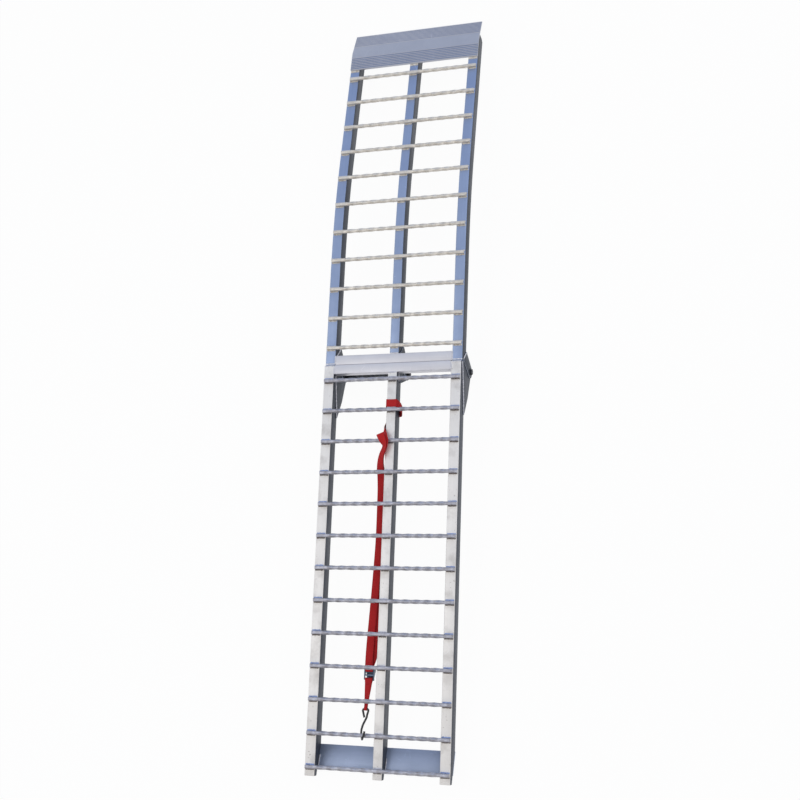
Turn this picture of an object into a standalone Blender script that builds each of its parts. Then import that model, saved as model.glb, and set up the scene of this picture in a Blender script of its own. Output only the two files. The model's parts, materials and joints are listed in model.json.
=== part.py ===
"""Arched folding loading ramp: two ladder sections hinged under their seam, with a webbing tie strap.

X runs across the ramp, Y along it from the foot to the lip, and Z up. The ramp stands on its
foot plate's heel and on the heels of the upper stringers, arched over the hinge.
"""

import math

import bmesh
import bpy
from mathutils import Vector

for old in list(bpy.data.objects):
    bpy.data.objects.remove(old, do_unlink=True)

# Clearances
CLEARANCE = 0.0003
SEAM_GAP = 0.0004
SECTION_SHIFT_GAP = 0.0003

# Stringers: rectangular tubes, three under each section
RAMP_WIDTH = 0.459
STRINGER_WIDTH = 0.033
CENTRE_WIDTH = 0.030
CENTRE_PLACE = 0.0035
STRINGER_DEPTH = 0.045
STRINGER_WALL = 0.003
STRINGER_ROUND = 0.0016

# Rungs: square bars twisted between the stringers
RUNG_SIZE = 0.011
RUNG_PITCH = 0.100
RUNG_INSET = 0.004
RUNG_PLAIN_MARGIN = 0.004
RUNG_QUARTER_TURNS = 5
RUNG_STEPS_PER_QUARTER = 3
LOWER_RUNGS = 13
UPPER_RUNGS = 11
LOWER_FIRST_RUNG = 0.053
UPPER_FIRST_RUNG = 0.055

# Upper section's bend, measured along the deck from the seam
BEND_START = 0.340
BEND_END = 0.740
BEND_ANGLE = math.radians(9.0)
BEND_STEPS = 8
SEAM_ANGLE = math.radians(0.7)

# Foot: the lower stringers' undersides taper, and a plate lies under the tapers
FOOT_OVERHANG = 0.027
FOOT_TAPER_LENGTH = 0.090
FOOT_TAPER_RISE = 0.027
FOOT_PLATE_THICKNESS = 0.004
FOOT_PLATE_HEEL = 0.003
FOOT_PLATE_LENGTH = 0.070

# Lip: a ribbed plate, bent down past the end of the upper stringers
LIP_START = 0.039
LIP_DECK_LENGTH = 0.072
LIP_LENGTH = 0.092
LIP_ANGLE = math.radians(15.0)
LIP_THICKNESS = 0.004
LIP_RIB_HEIGHT = 0.0012
LIP_RIB_WIDTH = 0.003
LIP_RIB_PITCH = 0.0068
LIP_DECK_RIBS = 8
LIP_TIP_RIBS = 9
LIP_RIB_MARGIN = 0.0022
LIP_SUPPORT = 0.025
LIP_END_FACE = 0.009
LIP_HEEL = 0.006

# Hinge beams: square tubes along both edges of the seam
BEAM_WIDTH = 0.030
BEAM_DEPTH = 0.030
BEAM_WALL = 0.003

# Hinge: plates under the deck, round a pivot below the seam
PIVOT_BACK = 0.018
PIVOT_DEPTH = 0.091
LOBE_RADIUS = 0.020
HINGE_PLATE = 0.003
PLATE_TOP = 0.009
LOWER_PLATE_REACH = 0.168
LOWER_PLATE_TIP = 0.040
LOWER_PLATE_KNEE = 0.107
LOWER_PLATE_KNEE_DEPTH = 0.078
CENTRE_PLATE_REACH = 0.060
CENTRE_PLATE_TIP = 0.036
UPPER_PLATE_REACH = 0.034
UPPER_PLATE_TIP = 0.043
UPPER_BAY_REACH = 0.064
PLATE_CORNER = 0.004
PLATE_SEAM_INSET = 0.0007
LOBE_STEPS = 14

# Hinge hardware
ROD_DIAMETER = 0.010
HEX_FLATS = 0.017
HEAD_HEIGHT = 0.0064
NUT_HEIGHT = 0.008
ROD_PROUD = 0.003
SPACER_DIAMETER = 0.019
SPACER_LENGTH = 0.100
ROUND_STEPS = 20

# Tie strap
WEBBING_WIDTH = 0.025
WEBBING_THICKNESS = 0.0012
LOOP_SHEAR = 0.5
LOOP_PLACE = 0.0205
STRAP_ASIDE = 0.0035

# Cam buckle
BUCKLE_WIDTH = 0.032
BUCKLE_PLATE = 0.002
BUCKLE_AFTER_RUNG = 0.005
BUCKLE_DEPTH = 0.030
BUCKLE_FROM_STRINGER = 0.0335
BUCKLE_TOP_BAR = 0.006
BUCKLE_TOP_WINDOW = 0.010
BUCKLE_CROSS_BAR = 0.004
BUCKLE_LOW_WINDOW = 0.007
BUCKLE_LOW_BAR = 0.005
EAR_RADIUS = 0.006
CAM_PIN_DIAMETER = 0.004
CAM_PIN_DROP = 0.0090
CAM_PIN_BACK = 0.005
CAM_REACH = 0.0060
CAM_LEVER_WIDTH = 0.024
CAM_THUMB_LENGTH = 0.029
CAM_THUMB_THICKNESS = 0.002
CAM_TEETH = 5
CAM_TOOTH_DEPTH = 0.0006
CAM_TEETH_START = math.radians(50)
CAM_TEETH_SPAN = math.radians(62)
CAM_RISE_SPAN = math.radians(45)

# Hook
HOOK_WIRE = 0.0065
HOOK_EYE_WIDTH = 0.0175
HOOK_EYE_LENGTH = 0.028
HOOK_EYE_CORNER = 0.0046
HOOK_LEAN = -0.0095
HOOK_BEND_WIDTH = 0.0155
HOOK_REACH = 0.0655
HOOK_DROP = 0.0065

# Sewn webbing between the buckle and the hook
SEWN_FLARE = 0.012
SEWN_APEX = 0.009
SEWN_TAPER = 0.62
SEWN_STEPS = 12

# Places that follow from the sizes
OUTER_STRINGER = RAMP_WIDTH / 2 - STRINGER_WIDTH / 2
LOWER_SHIFT = -(HINGE_PLATE + SECTION_SHIFT_GAP)
LAST_LOWER_RUNG = LOWER_FIRST_RUNG + (LOWER_RUNGS - 1) * RUNG_PITCH
LAST_UPPER_RUNG = UPPER_FIRST_RUNG + (UPPER_RUNGS - 1) * RUNG_PITCH
LOWER_LENGTH = LAST_LOWER_RUNG + FOOT_OVERHANG
TAPER_START = LOWER_LENGTH - FOOT_TAPER_LENGTH
LIP_PLATE_START = LAST_UPPER_RUNG + LIP_START
LIP_BEND = LIP_PLATE_START + LIP_DECK_LENGTH
UPPER_LENGTH = LIP_BEND + LIP_SUPPORT
TAPER_SLOPE = math.atan2(FOOT_TAPER_RISE, FOOT_TAPER_LENGTH)
CENTRE_LEFT_FACE = LOWER_SHIFT + CENTRE_PLACE - CENTRE_WIDTH / 2

# Colour, metallic value and roughness of each finish
FINISHES = {
    "bare_aluminium": ((0.74, 0.76, 0.80), 0.85, 0.38),
    "brushed_aluminium": ((0.66, 0.70, 0.78), 0.85, 0.45),
    "cast_silver": ((0.70, 0.71, 0.73), 0.80, 0.50),
    "plated_steel": ((0.28, 0.30, 0.34), 0.90, 0.42),
    "zinc": ((0.34, 0.38, 0.44), 0.90, 0.40),
    "red_webbing": ((0.38, 0.02, 0.02), 0.0, 0.85),
    "black_wire": ((0.02, 0.02, 0.022), 0.30, 0.45),
}

parts = bpy.data.collections.new("arched_loading_ramp")
guides = bpy.data.collections.new("cutters")
bpy.context.scene.collection.children.link(parts)
bpy.context.scene.collection.children.link(guides)

ALONG = (math.radians(90), 0.0, math.radians(90))


def finish(part, name):
    """Gives a part its own material."""
    colour, metallic, roughness = FINISHES[name]
    material = bpy.data.materials.new(part.name)
    material.use_nodes = True
    shader = material.node_tree.nodes["Principled BSDF"]
    shader.inputs["Base Color"].default_value = (*colour, 1.0)
    shader.inputs["Metallic"].default_value = metallic
    shader.inputs["Roughness"].default_value = roughness
    part.data.materials.clear()
    part.data.materials.append(material)
    return part


def place(part, section, location=(0.0, 0.0, 0.0), rotation=(0.0, 0.0, 0.0)):
    """Hangs a part under a section's empty."""
    part.parent = section
    part.location = location
    part.rotation_euler = rotation
    return part


def solid_from_curve(name, curve, collection=parts):
    """Turns a curve into a closed mesh object."""
    source = bpy.data.objects.new(name, curve)
    guides.objects.link(source)
    bpy.context.view_layer.update()
    evaluated = source.evaluated_get(bpy.context.evaluated_depsgraph_get())
    mesh = bpy.data.meshes.new_from_object(evaluated)
    bpy.data.objects.remove(source, do_unlink=True)
    mesh.name = name
    shape = bmesh.new()
    shape.from_mesh(mesh)
    bmesh.ops.remove_doubles(shape, verts=shape.verts, dist=1e-6)
    bmesh.ops.recalc_face_normals(shape, faces=shape.faces)
    shape.to_mesh(mesh)
    shape.free()
    solid = bpy.data.objects.new(name, mesh)
    collection.objects.link(solid)
    return solid


def flat_curve(name, loops, thickness):
    """A filled 2D outline, with its holes, extruded to a thickness."""
    curve = bpy.data.curves.new(name, "CURVE")
    curve.dimensions = "2D"
    curve.fill_mode = "BOTH"
    curve.extrude = thickness / 2
    for loop in loops:
        spline = curve.splines.new("POLY")
        spline.points.add(len(loop) - 1)
        for point, (x, y) in zip(spline.points, loop):
            point.co = (x, y, 0.0, 1.0)
        spline.use_cyclic_u = True
    return curve


def side_solid(name, loops, width, centre, section, collection=parts):
    """A side outline in (y, z), extruded across the ramp."""
    solid = solid_from_curve(name, flat_curve(name, loops, width), collection)
    return place(solid, section, (centre, 0.0, 0.0), ALONG)


def as_cutter(part):
    part.hide_render = True
    part.display_type = "WIRE"
    return part


def boolean(part, tool, operation):
    step = part.modifiers.new(operation.lower(), "BOOLEAN")
    step.operation = operation
    step.solver = "EXACT"
    step.object = as_cutter(tool)
    return part


def round_edges(part, width, segments=2, angle=50):
    step = part.modifiers.new("rounded_edges", "BEVEL")
    step.width = width
    step.segments = segments
    step.limit_method = "ANGLE"
    step.angle_limit = math.radians(angle)
    return part


def shade_round(part, angle=35):
    part.data.shade_smooth()
    part.data.set_sharp_from_angle(angle=math.radians(angle))
    return part


def rectangle(left, right, low, high):
    return [(left, low), (right, low), (right, high), (left, high)]


def circle(centre, radius, steps=ROUND_STEPS):
    """The points of a round hole."""
    turns = [2 * math.pi * step / steps for step in range(steps)]
    return [(centre[0] + radius * math.cos(turn), centre[1] + radius * math.sin(turn)) for turn in turns]


def arc(radius, start, end, steps, centre=(0.0, 0.0)):
    """Points on an arc round a centre, both ends included."""
    turns = [start + (end - start) * step / steps for step in range(steps + 1)]
    return [(centre[0] + radius * math.cos(turn), centre[1] + radius * math.sin(turn)) for turn in turns]


def tangent_angle(point, radius, side):
    """Where a line from a point touches a circle at the origin, on the side +1 or -1."""
    return math.atan2(point[1], point[0]) + side * math.acos(radius / math.hypot(*point))


def smooth_path(points, steps, closed=False):
    """Points read from a smooth curve through the given ones, whatever they hold besides a place."""
    count = len(points)
    spans = count if closed else count - 1
    path = []
    for span in range(spans):
        if closed:
            near = [points[(span + offset) % count] for offset in (-1, 0, 1, 2)]
        else:
            near = [points[min(max(span + offset, 0), count - 1)] for offset in (-1, 0, 1, 2)]
        for step in range(steps):
            t = step / steps
            weights = (
                (-t + 2 * t**2 - t**3) / 2,
                (2 - 5 * t**2 + 3 * t**3) / 2,
                (t + 4 * t**2 - 3 * t**3) / 2,
                (-(t**2) + t**3) / 2,
            )
            path.append(tuple(sum(w * value for w, value in zip(weights, column)) for column in zip(*near)))
    if not closed:
        path.append(tuple(points[-1]))
    return path


def lower_point(along, depth):
    """A place on the lower section: distance from the seam towards the foot, and depth under the deck."""
    return (PIVOT_BACK - along, PIVOT_DEPTH - depth)


def bend_at(along):
    """The deck's direction, place and drop at a distance from the seam along the bent upper section."""
    radius = (BEND_END - BEND_START) / BEND_ANGLE
    turn = min(max(along - BEND_START, 0.0), BEND_END - BEND_START) / radius
    before = min(along, BEND_START)
    after = max(along - BEND_END, 0.0)
    forward = before + radius * math.sin(turn) + after * math.cos(turn)
    drop = radius * (1 - math.cos(turn)) + after * math.sin(turn)
    return turn, forward, drop


def upper_point(along, depth):
    """A place on the upper section: distance from the seam towards the lip, and depth under the deck."""
    turn, forward, drop = bend_at(along)
    return (
        PIVOT_BACK + forward - depth * math.sin(turn),
        PIVOT_DEPTH - drop - depth * math.cos(turn),
    )


def seam_face(depth):
    """How far the upper section's end face starts from its seam line, so that the closed seam is parallel."""
    forward = PIVOT_BACK + SEAM_GAP / 2
    rise = PIVOT_DEPTH - depth
    local = forward * math.cos(SEAM_ANGLE) - (rise - forward * math.sin(SEAM_ANGLE)) * math.tan(SEAM_ANGLE)
    return local - PIVOT_BACK


def bend_stations():
    """Distances along the upper stringer at which its outline needs a point."""
    step = (BEND_END - BEND_START) / BEND_STEPS
    return [BEND_START + step * number for number in range(BEND_STEPS + 1)]


def lip_point(past_bend, height):
    """A place on the bent lip: distance past the bend line, and height over the plate's underside line."""
    turn, forward, drop = bend_at(LIP_BEND)
    slope = turn + LIP_ANGLE
    return (
        PIVOT_BACK + forward + past_bend * math.cos(slope) + height * math.sin(slope),
        PIVOT_DEPTH - drop - past_bend * math.sin(slope) + height * math.cos(slope),
    )


def heel_points():
    """The two floor contacts, both in the lower section's frame."""
    foot = foot_plate_point(-FOOT_PLATE_HEEL, CLEARANCE + FOOT_PLATE_THICKNESS)
    y, z = upper_point(UPPER_LENGTH - LIP_HEEL, STRINGER_DEPTH)
    lip = (
        y * math.cos(SEAM_ANGLE) + z * math.sin(SEAM_ANGLE),
        z * math.cos(SEAM_ANGLE) - y * math.sin(SEAM_ANGLE),
    )
    return foot, lip


def foot_plate_point(along_taper, under):
    """A place on the foot plate: distance along the taper from where it starts, and depth under the taper."""
    along = TAPER_START + along_taper * math.cos(TAPER_SLOPE) + under * math.sin(TAPER_SLOPE)
    depth = STRINGER_DEPTH - along_taper * math.sin(TAPER_SLOPE) + under * math.cos(TAPER_SLOPE)
    return lower_point(along, depth)


def section_empty(name):
    empty = bpy.data.objects.new(name, None)
    empty.empty_display_size = 0.1
    parts.objects.link(empty)
    return empty


# The sections' empties lie on the hinge's axis
foot_heel, lip_heel = heel_points()
lower_section = section_empty("lower_section")
lower_section.rotation_euler = (-math.atan2(lip_heel[1] - foot_heel[1], lip_heel[0] - foot_heel[0]), 0.0, 0.0)
upper_section = section_empty("upper_section")
upper_section.parent = lower_section
upper_section.rotation_euler = (-SEAM_ANGLE, 0.0, 0.0)


def lower_stringer(name, centre, start, width=STRINGER_WIDTH):
    """A tapered tube, capped at the seam and open at the foot."""
    end_depth = STRINGER_DEPTH - FOOT_TAPER_RISE
    outline = [
        lower_point(start, 0.0),
        lower_point(LOWER_LENGTH, 0.0),
        lower_point(LOWER_LENGTH, end_depth),
        lower_point(TAPER_START, STRINGER_DEPTH),
        lower_point(start, STRINGER_DEPTH),
    ]
    reach = LOWER_LENGTH + STRINGER_WALL
    reach_depth = STRINGER_DEPTH - STRINGER_WALL - (reach - TAPER_START) * math.tan(TAPER_SLOPE)
    hollow = [
        lower_point(start + STRINGER_WALL, STRINGER_WALL),
        lower_point(reach, STRINGER_WALL),
        lower_point(reach, reach_depth),
        lower_point(TAPER_START, STRINGER_DEPTH - STRINGER_WALL),
        lower_point(start + STRINGER_WALL, STRINGER_DEPTH - STRINGER_WALL),
    ]
    return stringer(name, outline, hollow, centre, width, lower_section)


def upper_stringer(name, centre, seam, width=STRINGER_WIDTH):
    """A bent tube, capped at the seam and open at the lip. seam gives its end face's place at a depth."""
    stations = bend_stations()
    end_top = LIP_SUPPORT * math.tan(LIP_ANGLE)
    outline = [upper_point(seam(0.0), 0.0)]
    outline += [upper_point(along, 0.0) for along in stations]
    outline += [upper_point(LIP_BEND - CLEARANCE, 0.0)]
    outline += [upper_point(UPPER_LENGTH, end_top + CLEARANCE)]
    outline += [upper_point(UPPER_LENGTH, STRINGER_DEPTH - LIP_END_FACE)]
    outline += [upper_point(UPPER_LENGTH - LIP_HEEL, STRINGER_DEPTH)]
    outline += [upper_point(along, STRINGER_DEPTH) for along in reversed(stations)]
    outline += [upper_point(seam(STRINGER_DEPTH), STRINGER_DEPTH)]
    low = STRINGER_DEPTH - STRINGER_WALL
    cap = seam(0.0) + STRINGER_WALL
    reach = UPPER_LENGTH + STRINGER_DEPTH
    under_lip = STRINGER_WALL + (UPPER_LENGTH - LIP_BEND) * math.tan(LIP_ANGLE)
    hollow = [upper_point(cap, STRINGER_WALL)]
    hollow += [upper_point(along, STRINGER_WALL) for along in stations]
    hollow += [upper_point(LIP_BEND - STRINGER_WALL, STRINGER_WALL)]
    hollow += [upper_point(UPPER_LENGTH, under_lip)]
    hollow += [upper_point(reach, under_lip)]
    hollow += [upper_point(reach, low)]
    hollow += [upper_point(along, low) for along in reversed(stations)]
    hollow += [upper_point(cap, low)]
    return stringer(name, outline, hollow, centre, width, upper_section)


def stringer(name, outline, hollow, centre, width, section):
    part = side_solid(name, [outline], width, centre, section)
    round_edges(part, min(STRINGER_ROUND, STRINGER_WALL * 0.6))
    inner_width = width - 2 * STRINGER_WALL
    inner = side_solid(name + "_hollow", [hollow], inner_width, centre, section, guides)
    boolean(part, inner, "DIFFERENCE")
    return finish(shade_round(part), "brushed_aluminium")


def square_profile(size):
    half = size / 2
    profile = flat_curve("rung_profile", [rectangle(-half, half, -half, half)], 0.0)
    guide = bpy.data.objects.new("rung_profile", profile)
    guides.objects.link(guide)
    return as_cutter(guide)


def twisted_bar(name):
    """A square bar along X: plain over the three stringers and twisted in the two bays between them."""
    plain = STRINGER_WIDTH / 2 + RUNG_PLAIN_MARGIN
    centre_plain = CENTRE_WIDTH / 2 + RUNG_PLAIN_MARGIN
    end = RAMP_WIDTH / 2 - RUNG_INSET
    bays = [
        (-OUTER_STRINGER + plain, CENTRE_PLACE - centre_plain),
        (CENTRE_PLACE + centre_plain, OUTER_STRINGER - plain),
    ]
    steps = RUNG_QUARTER_TURNS * RUNG_STEPS_PER_QUARTER
    stations = [(-end, 0.0)]
    for number, (start, stop) in enumerate(bays):
        for step in range(steps + 1):
            turned = number * RUNG_QUARTER_TURNS + RUNG_QUARTER_TURNS * step / steps
            stations.append((start + (stop - start) * step / steps, turned * math.pi / 2))
    stations.append((end, stations[-1][1]))
    curve = bpy.data.curves.new(name, "CURVE")
    curve.dimensions = "3D"
    curve.bevel_mode = "OBJECT"
    curve.bevel_object = square_profile(RUNG_SIZE)
    curve.use_fill_caps = True
    spline = curve.splines.new("POLY")
    spline.points.add(len(stations) - 1)
    for point, (across, turn) in zip(spline.points, stations):
        point.co = (across, 0.0, 0.0, 1.0)
        point.tilt = turn
    bar = solid_from_curve(name, curve, guides)
    mesh = bar.data
    bpy.data.objects.remove(bar, do_unlink=True)
    return mesh


def add_rungs():
    mesh = twisted_bar("twisted_rung")
    lift = -(CLEARANCE + RUNG_SIZE / 2)
    for number in range(LOWER_RUNGS):
        rung = bpy.data.objects.new(f"lower_rung_{number + 1:02d}", mesh.copy())
        parts.objects.link(rung)
        place(rung, lower_section, (LOWER_SHIFT, *lower_point(LOWER_FIRST_RUNG + number * RUNG_PITCH, lift)))
        finish(rung, "cast_silver")
    for number in range(UPPER_RUNGS):
        along = UPPER_FIRST_RUNG + number * RUNG_PITCH
        rung = bpy.data.objects.new(f"upper_rung_{number + 1:02d}", mesh.copy())
        parts.objects.link(rung)
        place(rung, upper_section, (0.0, *upper_point(along, lift)), (-bend_at(along)[0], 0.0, 0.0))
        finish(rung, "cast_silver")


def beam(name, outline, hollow, centre, section):
    """A square tube between the outer stringers, open at both ends."""
    length = 2 * (OUTER_STRINGER - STRINGER_WIDTH / 2 - CLEARANCE)
    part = side_solid(name, [outline], length, centre, section)
    round_edges(part, min(STRINGER_ROUND, BEAM_WALL * 0.6))
    inner = side_solid(name + "_hollow", [hollow], length + STRINGER_WIDTH, centre, section, guides)
    boolean(part, inner, "DIFFERENCE")
    return finish(shade_round(part), "bare_aluminium")


def add_beams():
    inner_low = BEAM_DEPTH - BEAM_WALL
    start = SEAM_GAP / 2
    corners = rectangle(start, BEAM_WIDTH, 0.0, BEAM_DEPTH)
    inner = rectangle(start + BEAM_WALL, BEAM_WIDTH - BEAM_WALL, BEAM_WALL, inner_low)
    beam(
        "lower_hinge_beam",
        [lower_point(*corner) for corner in corners],
        [lower_point(*corner) for corner in inner],
        LOWER_SHIFT,
        lower_section,
    )
    corners = (
        (seam_face(0.0), 0.0),
        (BEAM_WIDTH, 0.0),
        (BEAM_WIDTH, BEAM_DEPTH),
        (seam_face(BEAM_DEPTH), BEAM_DEPTH),
    )
    inner = (
        (seam_face(BEAM_WALL) + BEAM_WALL, BEAM_WALL),
        (BEAM_WIDTH - BEAM_WALL, BEAM_WALL),
        (BEAM_WIDTH - BEAM_WALL, inner_low),
        (seam_face(inner_low) + BEAM_WALL, inner_low),
    )
    beam(
        "upper_hinge_beam",
        [upper_point(*corner) for corner in corners],
        [upper_point(*corner) for corner in inner],
        0.0,
        upper_section,
    )


def add_stringers():
    seam_start = SEAM_GAP / 2
    behind_beam = BEAM_WIDTH + CLEARANCE
    for side, across in (("left", -OUTER_STRINGER), ("right", OUTER_STRINGER)):
        lower_stringer(f"lower_stringer_{side}", across + LOWER_SHIFT, seam_start)
        upper_stringer(f"upper_stringer_{side}", across, seam_face)
    lower_stringer("lower_stringer_centre", CENTRE_PLACE + LOWER_SHIFT, behind_beam, CENTRE_WIDTH)
    upper_stringer("upper_stringer_centre", CENTRE_PLACE, lambda depth: behind_beam, CENTRE_WIDTH)


def add_foot_plate():
    """A flat plate under the tapered ends of the lower stringers."""
    top = CLEARANCE
    bottom = CLEARANCE + FOOT_PLATE_THICKNESS
    end = FOOT_PLATE_LENGTH - FOOT_PLATE_HEEL
    outline = [
        foot_plate_point(-FOOT_PLATE_HEEL, top),
        foot_plate_point(end, top),
        foot_plate_point(end, bottom),
        foot_plate_point(-FOOT_PLATE_HEEL, bottom),
    ]
    part = side_solid("foot_plate", [outline], RAMP_WIDTH, LOWER_SHIFT, lower_section)
    finish(part, "brushed_aluminium")


def rib_profile(point, start, count, underside):
    """The top line of a row of ribs, from start on, read through a function of place and height."""
    low = underside + LIP_THICKNESS
    high = low + LIP_RIB_HEIGHT
    flank = LIP_RIB_HEIGHT / 2
    line = []
    for number in range(count):
        left = start + number * LIP_RIB_PITCH
        right = left + LIP_RIB_WIDTH
        line += [point(left, low), point(left + flank, high), point(right - flank, high), point(right, low)]
    return line


def add_lip_plate():
    """The ribbed plate: flat on the stringers, bent down at the bend line, ribs on both ends."""
    def deck(along, height):
        return upper_point(along, -height)

    tip_start = LIP_LENGTH - LIP_RIB_MARGIN - (LIP_TIP_RIBS - 1) * LIP_RIB_PITCH - LIP_RIB_WIDTH
    mitre = math.tan(LIP_ANGLE / 2)
    top = CLEARANCE + LIP_THICKNESS
    outline = [deck(LIP_PLATE_START, CLEARANCE), deck(LIP_PLATE_START, top)]
    outline += rib_profile(deck, LIP_PLATE_START + LIP_RIB_MARGIN, LIP_DECK_RIBS, CLEARANCE)
    outline += [deck(LIP_BEND + top * mitre, top)]
    outline += rib_profile(lip_point, tip_start, LIP_TIP_RIBS, CLEARANCE)
    outline += [lip_point(LIP_LENGTH, top), lip_point(LIP_LENGTH, CLEARANCE)]
    outline += [deck(LIP_BEND + CLEARANCE * mitre, CLEARANCE)]
    part = side_solid("lip_plate", [outline], RAMP_WIDTH, 0.0, upper_section)
    finish(part, "brushed_aluminium")


def lobe(start_point, end_point):
    """The round end of a hinge plate: clockwise from a line out of start_point to a line into end_point."""
    start = tangent_angle(start_point, LOBE_RADIUS, -1)
    end = tangent_angle(end_point, LOBE_RADIUS, 1) - 2 * math.pi
    return arc(LOBE_RADIUS, start, end, LOBE_STEPS)


def lower_plate_outline(under_beam, short):
    """The plate under the lower section, notched under the beam where it lies in a bay, long or short."""
    if short:
        tail = [lower_point(CENTRE_PLATE_REACH, CENTRE_PLATE_TIP)]
    else:
        tail = [
            lower_point(LOWER_PLATE_KNEE, LOWER_PLATE_KNEE_DEPTH),
            lower_point(LOWER_PLATE_REACH, LOWER_PLATE_TIP),
        ]
    edge = PIVOT_BACK - PLATE_SEAM_INSET
    start = math.acos(min(edge / LOBE_RADIUS, 1.0))
    end = tangent_angle(tail[0], LOBE_RADIUS, 1) - 2 * math.pi
    if under_beam:
        slope = (LOWER_PLATE_TIP - PLATE_TOP) / LOWER_PLATE_REACH
        notch = BEAM_WIDTH + CLEARANCE
        below = BEAM_DEPTH + CLEARANCE
        top = [
            lower_point(notch, PLATE_TOP + notch * slope),
            lower_point(notch, below),
            lower_point(PLATE_SEAM_INSET, below),
        ]
    else:
        top = [lower_point(PLATE_SEAM_INSET, PLATE_TOP)]
    return top + arc(LOBE_RADIUS, start, end, LOBE_STEPS) + tail


def upper_plate_outline(under_beam):
    """The short plate under the upper section."""
    if under_beam:
        below = BEAM_DEPTH + CLEARANCE
        notch = BEAM_WIDTH + CLEARANCE
        corner = upper_point(PLATE_SEAM_INSET, below)
        reach = UPPER_BAY_REACH
        top = [corner, upper_point(notch, below), upper_point(notch, PLATE_TOP)]
    else:
        corner = upper_point(PLATE_SEAM_INSET, PLATE_TOP)
        reach = UPPER_PLATE_REACH
        top = [corner, upper_point(PLATE_SEAM_INSET + PLATE_CORNER, PLATE_TOP)]
    tip = upper_point(reach, UPPER_PLATE_TIP)
    heel = upper_point(reach - PLATE_CORNER, UPPER_PLATE_TIP + PLATE_CORNER)
    return top + [tip, heel] + lobe(heel, corner)


def add_hinges():
    """Three pairs of plates, each at the right-hand face of its stringers."""
    hole = circle((0.0, 0.0), ROD_DIAMETER / 2 + CLEARANCE)
    outer_half = STRINGER_WIDTH / 2
    faces = {
        "left": -OUTER_STRINGER + outer_half,
        "centre": CENTRE_PLACE + CENTRE_WIDTH / 2,
        "right": OUTER_STRINGER + outer_half,
    }
    for side, face in faces.items():
        bay = side != "right"
        lower = side_solid(
            f"lower_hinge_plate_{side}",
            [lower_plate_outline(bay, side == "centre"), hole],
            HINGE_PLATE,
            face - HINGE_PLATE / 2,
            lower_section,
        )
        upper = side_solid(
            f"upper_hinge_plate_{side}",
            [upper_plate_outline(bay), hole],
            HINGE_PLATE,
            face + CLEARANCE + HINGE_PLATE / 2,
            upper_section,
        )
        finish(lower, "brushed_aluminium")
        finish(upper, "brushed_aluminium")


def bar_along_x(name, radius, start, end, steps, section=lower_section, centre=(0.0, 0.0), collection=parts):
    """A round or hexagonal bar across the ramp, from start to end."""
    mesh = bpy.data.meshes.new(name)
    shape = bmesh.new()
    bmesh.ops.create_cone(
        shape, cap_ends=True, segments=steps, radius1=radius, radius2=radius, depth=end - start
    )
    shape.to_mesh(mesh)
    shape.free()
    part = bpy.data.objects.new(name, mesh)
    collection.objects.link(part)
    return place(part, section, ((start + end) / 2, *centre), (0.0, math.radians(90), 0.0))


def bore_along_x(part, radius, start, end):
    """Bores a round hole on the pivot's axis through a part."""
    tool = bar_along_x(part.name + "_bore", radius, start, end, ROUND_STEPS, collection=guides)
    return boolean(part, tool, "DIFFERENCE")


def hexagon_radius(flats):
    return flats / math.sqrt(3)


def nut(name, start):
    """A hexagon nut on the pivot, from start towards +X."""
    part = bar_along_x(name, hexagon_radius(HEX_FLATS), start, start + NUT_HEIGHT, 6)
    bore_along_x(part, ROD_DIAMETER / 2 + CLEARANCE, start - NUT_HEIGHT, start + 2 * NUT_HEIGHT)
    return finish(part, "plated_steel")


def add_hinge_hardware():
    """A rod through the left and centre hinges with a spacer in the bay, and a bolt at the right hinge."""
    left_face = -OUTER_STRINGER + STRINGER_WIDTH / 2
    centre_face = CENTRE_PLACE + CENTRE_WIDTH / 2
    right_face = OUTER_STRINGER + STRINGER_WIDTH / 2
    inside = HINGE_PLATE + CLEARANCE
    outside = HINGE_PLATE + 2 * CLEARANCE
    left_nut = left_face - inside - NUT_HEIGHT
    centre_nut = centre_face + outside
    rod_end = centre_nut + NUT_HEIGHT + ROD_PROUD
    rod = bar_along_x("pivot_rod", ROD_DIAMETER / 2, left_nut - ROD_PROUD, rod_end, ROUND_STEPS)
    finish(shade_round(rod), "plated_steel")
    nut("pivot_nut_left", left_nut)
    nut("pivot_nut_centre", centre_nut)

    spacer_start = left_face + outside
    spacer_end = spacer_start + SPACER_LENGTH
    spacer = bar_along_x("pivot_spacer", SPACER_DIAMETER / 2, spacer_start, spacer_end, ROUND_STEPS)
    bore_along_x(spacer, ROD_DIAMETER / 2 + CLEARANCE, spacer_start - ROD_DIAMETER, spacer_end + ROD_DIAMETER)
    finish(shade_round(spacer), "plated_steel")

    right_nut = right_face - inside - NUT_HEIGHT
    head_start = right_face + outside
    bolt = bar_along_x("hinge_bolt_right", hexagon_radius(HEX_FLATS), head_start, head_start + HEAD_HEIGHT, 6)
    shank_start = right_nut - ROD_PROUD
    shank_end = head_start + HEAD_HEIGHT / 2
    radius = ROD_DIAMETER / 2
    shank = bar_along_x("hinge_bolt_shank", radius, shank_start, shank_end, ROUND_STEPS, collection=guides)
    boolean(bolt, shank, "UNION")
    finish(bolt, "plated_steel")
    nut("hinge_nut_right", right_nut)


def rung_along(number):
    """The distance of a lower rung, counted from the seam, along the deck."""
    return LOWER_FIRST_RUNG + (number - 1) * RUNG_PITCH


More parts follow.
